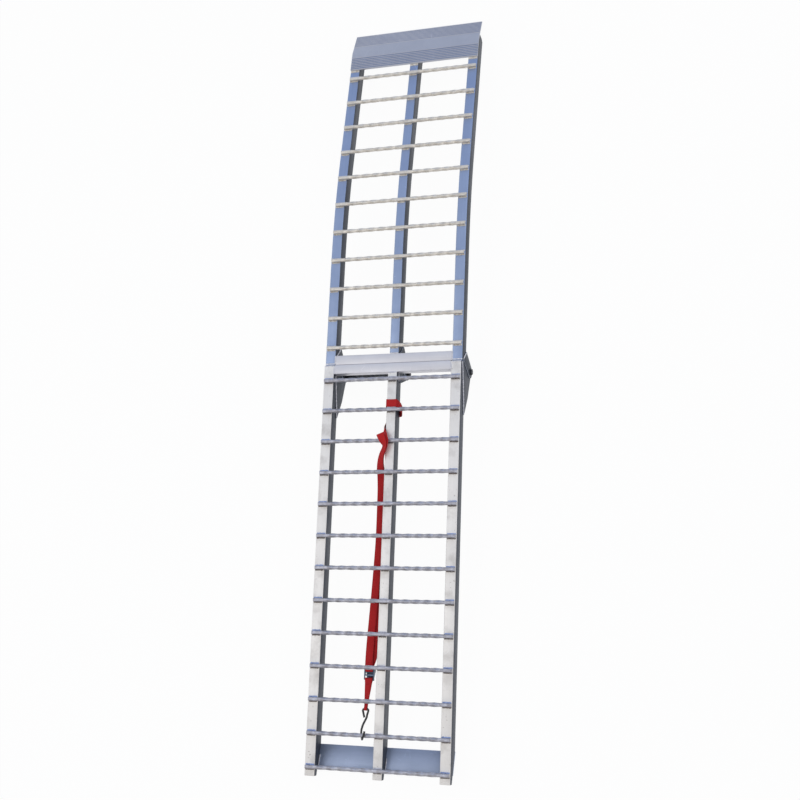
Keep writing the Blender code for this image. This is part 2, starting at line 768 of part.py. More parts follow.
def add_strap_loop():
    """The choked webbing loop round the centre stringer, just before the second rung."""
    half = CENTRE_WIDTH / 2
    gap = CLEARANCE + WEBBING_THICKNESS / 2
    corner = gap * 1.3
    deep = STRINGER_DEPTH
    centre = rung_along(2) - LOOP_PLACE
    ring = [
        (-half * 0.65, gap), (half * 0.65, gap), (half + corner, corner),
        (half + 0.0065, -deep * 0.13), (half + 0.0103, -deep * 0.36),
        (half + 0.0113, -deep * 0.65), (half + 0.0088, -deep * 0.93),
        (half + 0.0030, -deep - 2 * gap), (half * 0.40, -deep - 2 * gap),
        (-half * 0.45, -deep - 2 * gap), (-half - corner, -deep - corner),
        (-half - 0.0032, -deep * 0.82), (-half - 0.0036, -deep * 0.55), (-half - 0.0032, -deep * 0.24),
        (-half - corner, corner),
    ]
    curve = bpy.data.curves.new("strap_loop", "CURVE")
    curve.dimensions = "3D"
    curve.extrude = WEBBING_WIDTH / 2
    spline = curve.splines.new("POLY")
    path = smooth_path(ring, 3, closed=True)
    spline.points.add(len(path) - 1)
    for point, (across, height) in zip(spline.points, path):
        point.co = (across, height, 0.0, 1.0)
    spline.use_cyclic_u = True
    loop = solid_from_curve("strap_loop", curve)
    for vertex in loop.data.vertices:
        vertex.co.z -= vertex.co.y * LOOP_SHEAR
    across = CENTRE_PLACE + LOWER_SHIFT
    place(loop, lower_section, (across, *lower_point(centre, 0.0)), (math.radians(90), 0.0, 0.0))
    thicken(loop, WEBBING_THICKNESS)
    finish(loop, "red_webbing")


def thicken(part, thickness):
    step = part.modifiers.new("webbing", "SOLIDIFY")
    step.thickness = thickness
    step.offset = 0.0
    step.use_even_offset = True
    return part


def buckle_start():
    """The buckle's near edge, measured along the deck from the seam."""
    return rung_along(10) + BUCKLE_AFTER_RUNG


def buckle_centre():
    return CENTRE_LEFT_FACE - BUCKLE_FROM_STRINGER


def strap_route():
    """The webbing from the loop over the third rung and under the next ones to the buckle, and its tail back.

    Each point holds a place along the deck, a place across, a depth and a roll about the webbing's run.
    """
    wall = CENTRE_LEFT_FACE - CLEARANCE - WEBBING_THICKNESS / 2
    face = CENTRE_LEFT_FACE - STRAP_ASIDE
    second, third, fourth, tenth = (rung_along(number) for number in (2, 3, 4, 10))
    buckle = buckle_centre()
    out = [
        (second - 0.003, wall, 0.0300, 90),
        (second + 0.020, wall, 0.0290, 90),
        (second + 0.044, wall - 0.0030, 0.0225, 86),
        (second + 0.062, face - 0.0052, 0.0120, 77),
        (third - 0.026, face - 0.0030, -0.0010, 55),
        (third - 0.013, face + 0.0035, -0.0165, 25),
        (third, face + 0.0080, -0.0187, 14),
        (third + 0.012, face + 0.0085, -0.0155, 32),
        (third + 0.024, face + 0.0060, -0.0095, 48),
        (third + 0.045, face - 0.0050, 0.0, 44),
        (third + 0.065, face - 0.0115, 0.0100, 28),
        (fourth - 0.013, face - 0.0137, 0.0185, 10),
        (fourth + 0.010, face - 0.0137, 0.0270, 3),
        (fourth + 0.050, face - 0.0137, 0.0330, 0),
        (fourth + 0.150, face - 0.0137, 0.0355, 0),
        (fourth + 0.300, face - 0.0137, 0.0360, 0),
        (tenth - 0.120, face - 0.0137, 0.0360, 0),
        (tenth - 0.060, face - 0.0140, 0.0358, 0),
        (tenth - 0.025, buckle + 0.0080, 0.0350, 0),
    ]
    turn_centre = BUCKLE_DEPTH + BUCKLE_PLATE / 2
    turn_radius = BUCKLE_PLATE / 2 + CLEARANCE + WEBBING_THICKNESS / 2
    bar_end = buckle_start() + BUCKLE_TOP_BAR - turn_radius * 0.2
    out.append((buckle_start() - 0.006, buckle, turn_centre + turn_radius, 0))
    turn = [
        (bar_end + turn_radius * math.sin(angle), buckle, turn_centre + turn_radius * math.cos(angle), 0)
        for angle in (math.pi * step / 7 for step in range(8))
    ]
    back = [
        (buckle_start() - 0.001, buckle, turn_centre - turn_radius, 0),
        (tenth - 0.008, buckle - 0.0012, 0.0290, 0),
        (tenth - 0.050, buckle - 0.0010, 0.0312, 0),
        (tenth - 0.097, buckle + 0.0010, 0.0325, 0),
        (tenth - 0.210, buckle + 0.0075, 0.0328, 0),
        (fourth + 0.290, buckle + 0.0125, 0.0328, 0),
        (fourth + 0.200, face - 0.0142, 0.0326, 0),
        (fourth + 0.100, face - 0.0139, 0.0318, 0),
        (fourth + 0.050, face - 0.0137, 0.0297, 0),
        (fourth + 0.010, face - 0.0142, 0.0240, 3),
        (fourth - 0.013, face - 0.0147, 0.0157, 10),
        (third + 0.065, face - 0.0130, 0.0077, 28),
        (third + 0.045, face - 0.0070, -0.0022, 44),
        (third + 0.024, face + 0.0039, -0.0116, 48),
        (third + 0.012, face + 0.0043, -0.0182, 28),
        (third, face + 0.0008, -0.0227, 10),
        (third - 0.013, face - 0.0047, -0.0242, 2),
        (third - 0.0195, face - 0.0074, -0.0243, 0),
    ]
    return out, turn, back


def add_strap():
    out, turn, back = strap_route()
    flat, turned = math.radians(90), math.radians(270)
    run = [(along, across, depth, flat + math.radians(roll)) for along, across, depth, roll in out]
    near_turn = [(along, across, depth, flat) for along, across, depth, roll in turn[:4]]
    far_turn = [(along, across, depth, turned) for along, across, depth, roll in turn[4:]]
    tail = [(along, across, depth, turned - math.radians(roll)) for along, across, depth, roll in back]
    path = smooth_path(run, 2) + near_turn + far_turn + smooth_path(tail, 2)
    curve = bpy.data.curves.new("strap_webbing", "CURVE")
    curve.dimensions = "3D"
    curve.twist_mode = "Z_UP"
    curve.extrude = WEBBING_WIDTH / 2
    spline = curve.splines.new("POLY")
    spline.points.add(len(path) - 1)
    for point, (along, across, depth, tilt) in zip(spline.points, path):
        point.co = (across, *lower_point(along, depth), 1.0)
        point.tilt = tilt
    strap = solid_from_curve("strap_webbing", curve)
    place(strap, lower_section)
    thicken(strap, WEBBING_THICKNESS)
    finish(strap, "red_webbing")


def cam_pin_place():
    """The cam lever's pin: distance along the deck and depth under it."""
    return buckle_start() + CAM_PIN_BACK, BUCKLE_DEPTH + BUCKLE_PLATE + CAM_PIN_DROP


def add_buckle_frame():
    """A pressed frame: a plate with two windows and an ear at each side for the cam's pin."""
    start = buckle_start()
    half = BUCKLE_WIDTH / 2
    opening = half - BUCKLE_PLATE
    first = start + BUCKLE_TOP_BAR
    second = first + BUCKLE_TOP_WINDOW + BUCKLE_CROSS_BAR
    end = second + BUCKLE_LOW_WINDOW + BUCKLE_LOW_BAR

    def row(near, far):
        return PIVOT_BACK - far, PIVOT_BACK - near

    loops = [
        rectangle(-half, half, *row(start, end)),
        rectangle(-opening, opening, *row(first, first + BUCKLE_TOP_WINDOW)),
        rectangle(-opening, opening, *row(second, second + BUCKLE_LOW_WINDOW)),
    ]
    frame = solid_from_curve("cam_buckle_frame", flat_curve("cam_buckle_frame", loops, BUCKLE_PLATE))
    middle = PIVOT_DEPTH - BUCKLE_DEPTH - BUCKLE_PLATE / 2
    place(frame, lower_section, (buckle_centre(), 0.0, middle))

    pin_along, pin_depth = cam_pin_place()
    pin = lower_point(pin_along, pin_depth)
    hole = circle(pin, CAM_PIN_DIAMETER / 2 + CLEARANCE, 12)
    near = (PIVOT_BACK - start - pin[0], middle - pin[1])
    far = (PIVOT_BACK - end - pin[0], middle - pin[1])
    end_angle = tangent_angle(far, EAR_RADIUS, 1)
    start_angle = tangent_angle(near, EAR_RADIUS, -1) if math.hypot(*near) > EAR_RADIUS else 0.0
    ear = [(PIVOT_BACK - start, middle)] + arc(EAR_RADIUS, start_angle, end_angle - 2 * math.pi, 8, pin)
    ear += [(PIVOT_BACK - end, middle)]
    for number, side in enumerate((-1, 1)):
        across = buckle_centre() + side * (half - BUCKLE_PLATE / 2)
        name = f"buckle_ear_{number + 1}"
        flank = side_solid(name, [ear, hole], BUCKLE_PLATE, across, lower_section, guides)
        boolean(frame, flank, "UNION")
    finish(frame, "zinc")

    half_pin = half + BUCKLE_PLATE / 2
    left, right = buckle_centre() - half_pin, buckle_centre() + half_pin
    rod = bar_along_x("cam_lever_pin", CAM_PIN_DIAMETER / 2, left, right, 12, centre=pin)
    finish(shade_round(rod), "plated_steel")


def add_cam_lever():
    """The toothed cam with its thumb plate, on an empty at the pin."""
    pin_along, pin_depth = cam_pin_place()
    empty = bpy.data.objects.new("cam_pivot", None)
    empty.empty_display_size = 0.02
    parts.objects.link(empty)
    place(empty, lower_section, (buckle_centre(), *lower_point(pin_along, pin_depth)))
    reach = CAM_PIN_DROP - 2 * CLEARANCE - WEBBING_THICKNESS - CLEARANCE
    small = CAM_REACH * 0.75
    outline = []
    for tooth in range(CAM_TEETH):
        past_start = CAM_TEETH_SPAN * tooth / CAM_TEETH
        tip_angle = CAM_TEETH_START + past_start
        root_angle = tip_angle + CAM_TEETH_SPAN * 0.55 / CAM_TEETH
        tip = small + (reach - small) * min(1.0, past_start / CAM_RISE_SPAN)
        root = tip - CAM_TOOTH_DEPTH
        outline.append((tip * math.cos(tip_angle), tip * math.sin(tip_angle)))
        outline.append((root * math.cos(root_angle), root * math.sin(root_angle)))
    outline += arc(CAM_REACH, math.radians(125), math.radians(165), 3)
    under = -CAM_REACH * 0.55
    outline += [(-CAM_REACH * 1.3, under + CAM_THUMB_THICKNESS), (-CAM_THUMB_LENGTH, under - 0.001)]
    outline += [(-CAM_THUMB_LENGTH - 0.001, under - 0.001 - CAM_THUMB_THICKNESS)]
    outline += [(-CAM_REACH * 1.2, under - CAM_THUMB_THICKNESS)]
    outline += arc(small, math.radians(235), math.radians(385), 8)
    hole = circle((0.0, 0.0), CAM_PIN_DIAMETER / 2 + CLEARANCE, 12)
    lever = side_solid("cam_buckle_lever", [outline, hole], CAM_LEVER_WIDTH, 0.0, empty)
    finish(lever, "zinc")


def add_short_webbing():
    """The sewn strap from the buckle's low bar to the hook: two layers with an eye at each end."""
    bar_along = (buckle_start() + BUCKLE_TOP_BAR + BUCKLE_TOP_WINDOW + BUCKLE_CROSS_BAR + BUCKLE_LOW_WINDOW
                 + BUCKLE_LOW_BAR / 2)
    bar = Vector(lower_point(bar_along, BUCKLE_DEPTH + BUCKLE_PLATE / 2))
    wire = Vector(lower_point(*hook_top()))
    span = (wire - bar).length
    lean = math.atan2(wire.y - bar.y, wire.x - bar.x)
    bar_hole = math.hypot(BUCKLE_LOW_BAR, BUCKLE_PLATE) / 2 + CLEARANCE
    wire_hole = HOOK_WIRE / 2 + CLEARANCE

    def eye(radius, apex, height):
        touch = tangent_angle((apex, height), radius, 1)
        return [(apex, height)] + arc(radius, touch, 2 * math.pi - touch, SEWN_STEPS)

    closing = [(SEWN_FLARE, -WEBBING_THICKNESS)]
    near = eye(bar_hole + WEBBING_THICKNESS, SEWN_FLARE, WEBBING_THICKNESS) + closing
    far = eye(wire_hole + WEBBING_THICKNESS, SEWN_FLARE, WEBBING_THICKNESS) + closing
    outer = near + [(span - x, -y) for x, y in far]
    near_hole = eye(bar_hole, SEWN_APEX, 0.0)
    far_hole = [(span - x, -y) for x, y in eye(wire_hole, SEWN_APEX, 0.0)]
    loops = [outer, near_hole, far_hole]
    webbing = solid_from_curve("hook_webbing", flat_curve("hook_webbing", loops, WEBBING_WIDTH))
    for vertex in webbing.data.vertices:
        vertex.co.z *= 1.0 - SEWN_TAPER * min(max(vertex.co.x / span, 0.0), 1.0)
    place(webbing, lower_section, (buckle_centre(), *bar), (math.radians(90), -lean, math.radians(90)))
    finish(webbing, "red_webbing")


def hook_bend():
    """The hook's bend round the twelfth rung: the rung's centre and the bend's radius, along and in depth."""
    centre_depth = -(CLEARANCE + RUNG_SIZE / 2)
    radius = RUNG_SIZE / math.sqrt(2) + CLEARANCE + HOOK_WIRE / 2
    return rung_along(12), centre_depth, radius


def hook_top():
    """The wire inside the sewn eye: distance along the deck and depth under it."""
    along, depth, radius = hook_bend()
    return along - radius - HOOK_REACH, depth + radius + HOOK_DROP


def add_hook():
    """The wire hook: an eye in the sewn webbing, and a bend under and round the twelfth rung."""
    rung, centre_depth, radius = hook_bend()
    top_along, top_depth = hook_top()
    centre = buckle_centre()
    side = HOOK_EYE_WIDTH / 2 - HOOK_EYE_CORNER
    low = top_along + HOOK_EYE_LENGTH
    corner_along = top_along + HOOK_EYE_CORNER
    left_end, middle, right_end = (math.radians(turn) for turn in (155, 270, 385))
    corners = arc(HOOK_EYE_CORNER, left_end, middle, 5, (centre - side, corner_along))
    corners += arc(HOOK_EYE_CORNER, middle, right_end, 5, (centre + side, corner_along))
    beside = (HOOK_WIRE + CLEARANCE) / 2
    eye = [(centre - beside, low - 0.0030, top_depth)]
    eye += [(across, along, top_depth) for across, along in corners]
    shank = [
        (centre + HOOK_EYE_WIDTH * 0.30, top_along + HOOK_EYE_LENGTH * 0.62, top_depth),
        (centre + beside, low - 0.0020, top_depth - 0.0002),
        (centre + HOOK_LEAN * 0.6, rung - 0.030, top_depth - 0.0035),
        (centre + HOOK_LEAN, rung - 0.014, centre_depth + radius + 0.0006),
    ]
    bend = [
        (
            centre + HOOK_LEAN + HOOK_BEND_WIDTH * step / 8,
            rung + radius * math.sin(math.pi * step / 8),
            centre_depth + radius * math.cos(math.pi * step / 8),
        )
        for step in range(9)
    ]
    tip = [(centre + HOOK_LEAN + HOOK_BEND_WIDTH + 0.003, rung - 0.013, centre_depth - radius - 0.0004)]
    path = eye + smooth_path(shank, 3)[:-1] + bend + tip
    curve = bpy.data.curves.new("s_hook", "CURVE")
    curve.dimensions = "3D"
    curve.bevel_depth = HOOK_WIRE / 2
    curve.bevel_resolution = 1
    curve.use_fill_caps = True
    spline = curve.splines.new("POLY")
    spline.points.add(len(path) - 1)
    for point, (across, along, depth) in zip(spline.points, path):
        point.co = (across, *lower_point(along, depth), 1.0)
    hook = shade_round(solid_from_curve("s_hook", curve), 60)
    place(hook, lower_section)
    finish(hook, "black_wire")


def stand_on_floor():
    """Moves the whole ramp so that the floor is at zero and the box is centred on the origin."""
    bpy.context.view_layer.update()
    depsgraph = bpy.context.evaluated_depsgraph_get()
    corners = []
    for part in parts.objects:
        if part.type == "MESH":
            evaluated = part.evaluated_get(depsgraph)
            corners += [evaluated.matrix_world @ vertex.co for vertex in evaluated.data.vertices]
    low = [min(corner[axis] for corner in corners) for axis in range(3)]
    high = [max(corner[axis] for corner in corners) for axis in range(3)]
    lower_section.location = (-(low[0] + high[0]) / 2, -(low[1] + high[1]) / 2, -low[2])


add_stringers()
add_beams()
add_rungs()
add_foot_plate()
add_lip_plate()
add_hinges()
add_hinge_hardware()
add_strap_loop()
add_strap()
add_buckle_frame()
add_cam_lever()
add_short_webbing()
add_hook()
stand_on_floor()
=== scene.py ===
"""Arched folding loading ramp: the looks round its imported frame.

X runs across the ramp, Y along it from the foot to the lip, and Z up, in metres.
"""

import json
import math

import bmesh
import bpy
from mathutils import Matrix, Vector


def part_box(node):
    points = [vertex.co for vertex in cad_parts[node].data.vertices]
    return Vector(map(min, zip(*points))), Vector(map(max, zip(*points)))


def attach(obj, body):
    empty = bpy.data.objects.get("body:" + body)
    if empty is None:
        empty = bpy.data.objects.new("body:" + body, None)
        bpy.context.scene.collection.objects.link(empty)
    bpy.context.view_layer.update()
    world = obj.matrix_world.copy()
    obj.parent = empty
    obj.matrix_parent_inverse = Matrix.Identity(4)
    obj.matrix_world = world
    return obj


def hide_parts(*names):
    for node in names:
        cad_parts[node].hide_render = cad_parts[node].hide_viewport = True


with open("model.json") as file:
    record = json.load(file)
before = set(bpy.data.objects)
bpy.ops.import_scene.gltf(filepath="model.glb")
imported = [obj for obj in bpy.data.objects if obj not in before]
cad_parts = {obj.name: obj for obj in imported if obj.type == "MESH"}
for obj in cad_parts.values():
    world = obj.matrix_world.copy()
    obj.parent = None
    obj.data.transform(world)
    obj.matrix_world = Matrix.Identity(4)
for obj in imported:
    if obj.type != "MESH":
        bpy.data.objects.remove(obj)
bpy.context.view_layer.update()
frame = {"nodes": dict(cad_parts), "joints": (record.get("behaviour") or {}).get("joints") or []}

# Sizes of the ramp that the pieces here follow
RAMP_WIDTH = 0.459
STRINGER_WIDTH = 0.033
CENTRE_WIDTH = 0.030
CENTRE_PLACE = 0.0035
STRINGER_DEPTH = 0.045
OUTER_STRINGER = RAMP_WIDTH / 2 - STRINGER_WIDTH / 2
LOWER_SHIFT = -0.0033
CLEARANCE = 0.0003
PIVOT_BACK = 0.018
PIVOT_DEPTH = 0.091
SEAM_ANGLE = math.radians(0.7)
BEND_START = 0.340
BEND_END = 0.740
BEND_ANGLE = math.radians(9.0)
BEND_RADIUS = (BEND_END - BEND_START) / BEND_ANGLE
BEAM_WIDTH = 0.030
RUNG_SIZE = 0.011
RUNG_PITCH = 0.100
RUNG_INSET = 0.004
RUNG_PLAIN_MARGIN = 0.004
RUNG_QUARTER_TURNS = 5
LOWER_RUNGS = 13
UPPER_RUNGS = 11
LOWER_FIRST_RUNG = 0.053
UPPER_FIRST_RUNG = 0.055
FOOT_OVERHANG = 0.027
FOOT_TAPER_LENGTH = 0.090
FOOT_TAPER_RISE = 0.027
LOWER_LENGTH = LOWER_FIRST_RUNG + (LOWER_RUNGS - 1) * RUNG_PITCH + FOOT_OVERHANG
TAPER_START = LOWER_LENGTH - FOOT_TAPER_LENGTH
TAPER_SLOPE = math.atan2(FOOT_TAPER_RISE, FOOT_TAPER_LENGTH)
LIP_START = 0.039
LIP_DECK_LENGTH = 0.072
LIP_PLATE_START = UPPER_FIRST_RUNG + (UPPER_RUNGS - 1) * RUNG_PITCH + LIP_START
LIP_BEND = LIP_PLATE_START + LIP_DECK_LENGTH
LOWER_PLATE_REACH = 0.168
LOWER_PLATE_TIP = 0.040
CENTRE_PLATE_REACH = 0.060
PLATE_TOP = 0.009
UPPER_PLATE_TIP = 0.043

# How wide the floors between the lip's ribs are
GROOVE_WIDTHS = (0.0024, 0.0045)

# Each stringer's centre and half of its width
STRINGERS = (
    (-OUTER_STRINGER, STRINGER_WIDTH / 2),
    (CENTRE_PLACE, CENTRE_WIDTH / 2),
    (OUTER_STRINGER, STRINGER_WIDTH / 2),
)


def centre_of(node):
    low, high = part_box(node)
    return (low + high) / 2


# The lower section's frame has its origin on the hinge's axis
hinge = next(joint for joint in frame["joints"] if joint["name"] == "fold_hinge")
lower_run = centre_of(f"lower_rung_{LOWER_RUNGS:02d}") - centre_of("lower_rung_01")
stand_tilt = math.atan2(-lower_run.z, -lower_run.y)
LOWER_FRAME = Matrix.Translation(Vector(hinge["pos_m"])) @ Matrix.Rotation(stand_tilt, 4, "X")
UPPER_FRAME = LOWER_FRAME @ Matrix.Rotation(-SEAM_ANGLE, 4, "X")


def lower_place(across, along, depth):
    """A place on the lower section: across, from the seam towards the foot, and under the deck."""
    return LOWER_FRAME @ Vector((across, PIVOT_BACK - along, PIVOT_DEPTH - depth))


def bend_at(along):
    """The deck's turn, and its place and drop, at a distance from the seam along the upper section."""
    turn = min(max(along - BEND_START, 0.0), BEND_END - BEND_START) / BEND_RADIUS
    after = max(along - BEND_END, 0.0)
    forward = min(along, BEND_START) + BEND_RADIUS * math.sin(turn) + after * math.cos(turn)
    drop = BEND_RADIUS * (1 - math.cos(turn)) + after * math.sin(turn)
    return turn, forward, drop


def upper_place(across, along, depth):
    """A place on the upper section: across, from the seam towards the lip, and under the deck."""
    turn, forward, drop = bend_at(along)
    return UPPER_FRAME @ Vector((
        across,
        PIVOT_BACK + forward - depth * math.sin(turn),
        PIVOT_DEPTH - drop - depth * math.cos(turn),
    ))


def lower_run_of(point):
    """Distance along the lower section and depth under its deck, of a point in space."""
    local = LOWER_FRAME.inverted() @ point
    return PIVOT_BACK - local.y, PIVOT_DEPTH - local.z


def upper_run_of(point):
    """Distance along the bent upper section and depth under its deck, of a point in space."""
    local = UPPER_FRAME.inverted() @ point
    forward = local.y - PIVOT_BACK - BEND_START
    rise = local.z - PIVOT_DEPTH + BEND_RADIUS
    turn = math.atan2(forward, rise)
    if turn <= 0.0:
        return forward + BEND_START, BEND_RADIUS - rise
    if turn < BEND_ANGLE:
        return BEND_START + BEND_RADIUS * turn, BEND_RADIUS - math.hypot(forward, rise)
    past = forward * math.cos(BEND_ANGLE) - rise * math.sin(BEND_ANGLE)
    depth = BEND_RADIUS - forward * math.sin(BEND_ANGLE) - rise * math.cos(BEND_ANGLE)
    return BEND_END + past, depth


# Camera, from the photograph's fit
SENSOR = 36.0
FOCAL_PIXELS = 1213.68
PICTURE_SIDE = 800
CAMERA_PLACE = LOWER_FRAME @ Vector((1.18997, -0.90496, 3.66572))
CAMERA_FORWARD = (LOWER_FRAME.to_3x3() @ Vector((-0.30215, 0.20821, -0.93024))).normalized()
CAMERA_RIGHT = LOWER_FRAME.to_3x3() @ Vector((0.95280, 0.03568, -0.30149))
camera_up = CAMERA_RIGHT.cross(CAMERA_FORWARD).normalized()
camera_right = CAMERA_FORWARD.cross(camera_up)
lens = bpy.data.cameras.new("camera")
lens.sensor_width = SENSOR
lens.lens = FOCAL_PIXELS * SENSOR / PICTURE_SIDE
lens.clip_start = 0.05
lens.clip_end = 60
camera = bpy.data.objects.new("camera", lens)
bpy.context.scene.collection.objects.link(camera)
turn = Matrix((camera_right, camera_up, -CAMERA_FORWARD)).transposed()
camera.matrix_world = Matrix.Translation(CAMERA_PLACE) @ turn.to_4x4()
bpy.context.scene.camera = camera
bpy.context.scene.view_settings.view_transform = "Standard"


def feed(tree, socket, value):
    """Links a socket to an input, or sets the input's own value."""
    if isinstance(value, bpy.types.NodeSocket):
        tree.links.new(value, socket)
    else:
        socket.default_value = value


def feed_all(tree, node, inputs):
    """Feeds a node's inputs, each told by its name or its number."""
    for name, value in inputs.items():
        feed(tree, node.inputs[name], value)


def add_node(tree, kind, inputs=None, **settings):
    """A new node, with its settings made first and its inputs fed after."""
    node = tree.nodes.new(kind)
    for name, value in settings.items():
        setattr(node, name, value)
    feed_all(tree, node, inputs or {})
    return node


def math_of(tree, operation, first, second=0.0, third=0.0):
    inputs = {0: first, 1: second, 2: third}
    return add_node(tree, "ShaderNodeMath", inputs, operation=operation).outputs[0]


def times(tree, first, second):
    return math_of(tree, "MULTIPLY", first, second)


def mix_colours(tree, share, first, second):
    """A mix of two colours, each a socket or its red, green and blue."""
    node = add_node(tree, "ShaderNodeMix", {"Factor": share}, data_type="RGBA")
    colour_inputs = [socket for socket in node.inputs if socket.type == "RGBA"]
    for socket, colour in zip(colour_inputs, (first, second)):
        feed(tree, socket, colour if isinstance(colour, bpy.types.NodeSocket) else (*colour, 1))
    return next(socket for socket in node.outputs if socket.type == "RGBA")


def ranged(tree, value, low, high, new_low=0.0, new_high=1.0):
    inputs = {"Value": value, "From Min": low, "From Max": high, "To Min": new_low, "To Max": new_high}
    return add_node(tree, "ShaderNodeMapRange", inputs).outputs[0]


def noise_of(tree, place, scale, detail=3.0, roughness=0.55):
    inputs = {"Vector": place, "Scale": scale, "Detail": detail, "Roughness": roughness}
    return add_node(tree, "ShaderNodeTexNoise", inputs).outputs["Fac"]


def stretched(tree, place, scale):
    return add_node(tree, "ShaderNodeVectorMath", {0: place, 1: scale}, operation="MULTIPLY").outputs[0]


def node_group(name, kind, inputs, outputs):
    """An empty group with its sockets, each a name, a kind and perhaps a value, and the nodes for them."""
    tree = bpy.data.node_groups.new(name, kind)
    for socket, socket_kind, *value in inputs:
        made = tree.interface.new_socket(socket, in_out="INPUT", socket_type=f"NodeSocket{socket_kind}")
        if value:
            made.default_value = value[0]
    for socket, socket_kind in outputs:
        tree.interface.new_socket(socket, in_out="OUTPUT", socket_type=f"NodeSocket{socket_kind}")
    return tree, tree.nodes.new("NodeGroupInput"), tree.nodes.new("NodeGroupOutput")


def drawn_lines_group():
    """Fine lines along a drawn or rolled face, from its run map, in metres."""
    tree, given, out = node_group(
        "drawn_lines", "ShaderNodeTree",
        [("Run", "Vector"), ("Line Pitch", "Float", 0.0012), ("Line Length", "Float", 0.30)],
        [("Mask", "Float"), ("Height", "Float")],
    )
    scale = add_node(tree, "ShaderNodeCombineXYZ", {
        0: math_of(tree, "DIVIDE", 1.0, given.outputs["Line Length"]),
        1: math_of(tree, "DIVIDE", 1.0, given.outputs["Line Pitch"]),
    })
    lines = noise_of(tree, stretched(tree, given.outputs["Run"], scale.outputs[0]), 1.0, 4.0, 0.65)
    feed_all(tree, out, {"Mask": ranged(tree, lines, 0.35, 0.65), "Height": lines})
    return tree


def handling_group():
    """Soft smudges, thin scratches in patches and a fine grain, from the place on the object."""
    tree, given, out = node_group(
        "handling_marks", "ShaderNodeTree",
        [("Place", "Vector"), ("Smudge Size", "Float", 0.08), ("Scratch Share", "Float", 0.04)],
        [("Smudge", "Float"), ("Scratch", "Float"), ("Grain", "Float")],
    )
    place = given.outputs["Place"]
    smudge = noise_of(tree, place, math_of(tree, "DIVIDE", 1.0, given.outputs["Smudge Size"]), 4.0, 0.6)
    slanted = stretched(tree, place, (55.0, 9.0, 40.0))
    warp = noise_of(tree, place, 7.0, 2.0)
    warped = add_node(tree, "ShaderNodeVectorMath", {0: slanted, 1: warp}, operation="ADD")
    cells = add_node(
        tree, "ShaderNodeTexVoronoi", {"Vector": warped.outputs[0], "Scale": 1.0},
        feature="DISTANCE_TO_EDGE")
    line_share = times(tree, given.outputs["Scratch Share"], 0.25)
    thin = math_of(tree, "LESS_THAN", cells.outputs["Distance"], line_share)
    patches = math_of(tree, "GREATER_THAN", noise_of(tree, place, 11.0, 2.0), 0.56)
    feed_all(tree, out, {
        "Smudge": ranged(tree, smudge, 0.35, 0.70),
        "Scratch": times(tree, thin, patches),
        "Grain": noise_of(tree, place, 1400.0, 2.0),
    })
    return tree


def weave_group():
    """Woven webbing, from its run map: X along the webbing and Y across it, in metres."""
    tree, given, out = node_group(
        "webbing_weave", "ShaderNodeTree",
        [("Run", "Vector"), ("Pick", "Float", 0.0016), ("Cord", "Float", 0.0011),
         ("Width", "Float", 0.025)],
        [("Height", "Float"), ("Thread", "Float"), ("Edge", "Float"), ("Fade", "Float")],
    )
    run = given.outputs["Run"]
    split = add_node(tree, "ShaderNodeSeparateXYZ", {0: run})
    cords = math_of(tree, "DIVIDE", split.outputs["Y"], given.outputs["Cord"])
    half_step = times(tree, math_of(tree, "FLOOR", cords), 0.5)
    whole_steps = math_of(tree, "DIVIDE", split.outputs["X"], given.outputs["Pick"])
    picks = math_of(tree, "ADD", whole_steps, half_step)
    across, along = (
        math_of(tree, "ABSOLUTE", math_of(tree, "SINE", times(tree, threads, math.pi)))
        for threads in (cords, picks)
    )
    centred = math_of(tree, "ABSOLUTE", math_of(tree, "DIVIDE", split.outputs["Y"], given.outputs["Width"]))
    feed_all(tree, out, {
        "Height": times(tree, math_of(tree, "POWER", across, 0.6), math_of(tree, "POWER", along, 0.6)),
        "Thread": noise_of(tree, stretched(tree, run, (260.0, 2600.0, 1.0)), 1.0),
        "Edge": ranged(tree, centred, 0.40, 0.50),
        "Fade": noise_of(tree, stretched(tree, run, (14.0, 60.0, 1.0)), 1.0),
    })
    return tree


DRAWN_LINES = drawn_lines_group()
HANDLING = handling_group()
WEAVE = weave_group()


def new_material(name):
    material = bpy.data.materials.new(name)
    material.use_nodes = True
    tree = material.node_tree
    return material, tree, tree.nodes["Principled BSDF"]


def placed_group(tree, group, **values):
    """The outputs of a group placed in a material, its inputs named with _ for each space."""
    inputs = {name.replace("_", " "): value for name, value in values.items()}
    return add_node(tree, "ShaderNodeGroup", inputs, node_tree=group).outputs


def run_map(tree):
    return add_node(tree, "ShaderNodeUVMap", uv_map="run").outputs[0]


def object_place(tree):
    return tree.nodes.new("ShaderNodeTexCoord").outputs["Object"]


def bump_of(tree, height, distance, strength):
    inputs = {"Strength": strength, "Distance": distance, "Height": height}
    return add_node(tree, "ShaderNodeBump", inputs).outputs[0]


DIRT = (0.30, 0.27, 0.25)


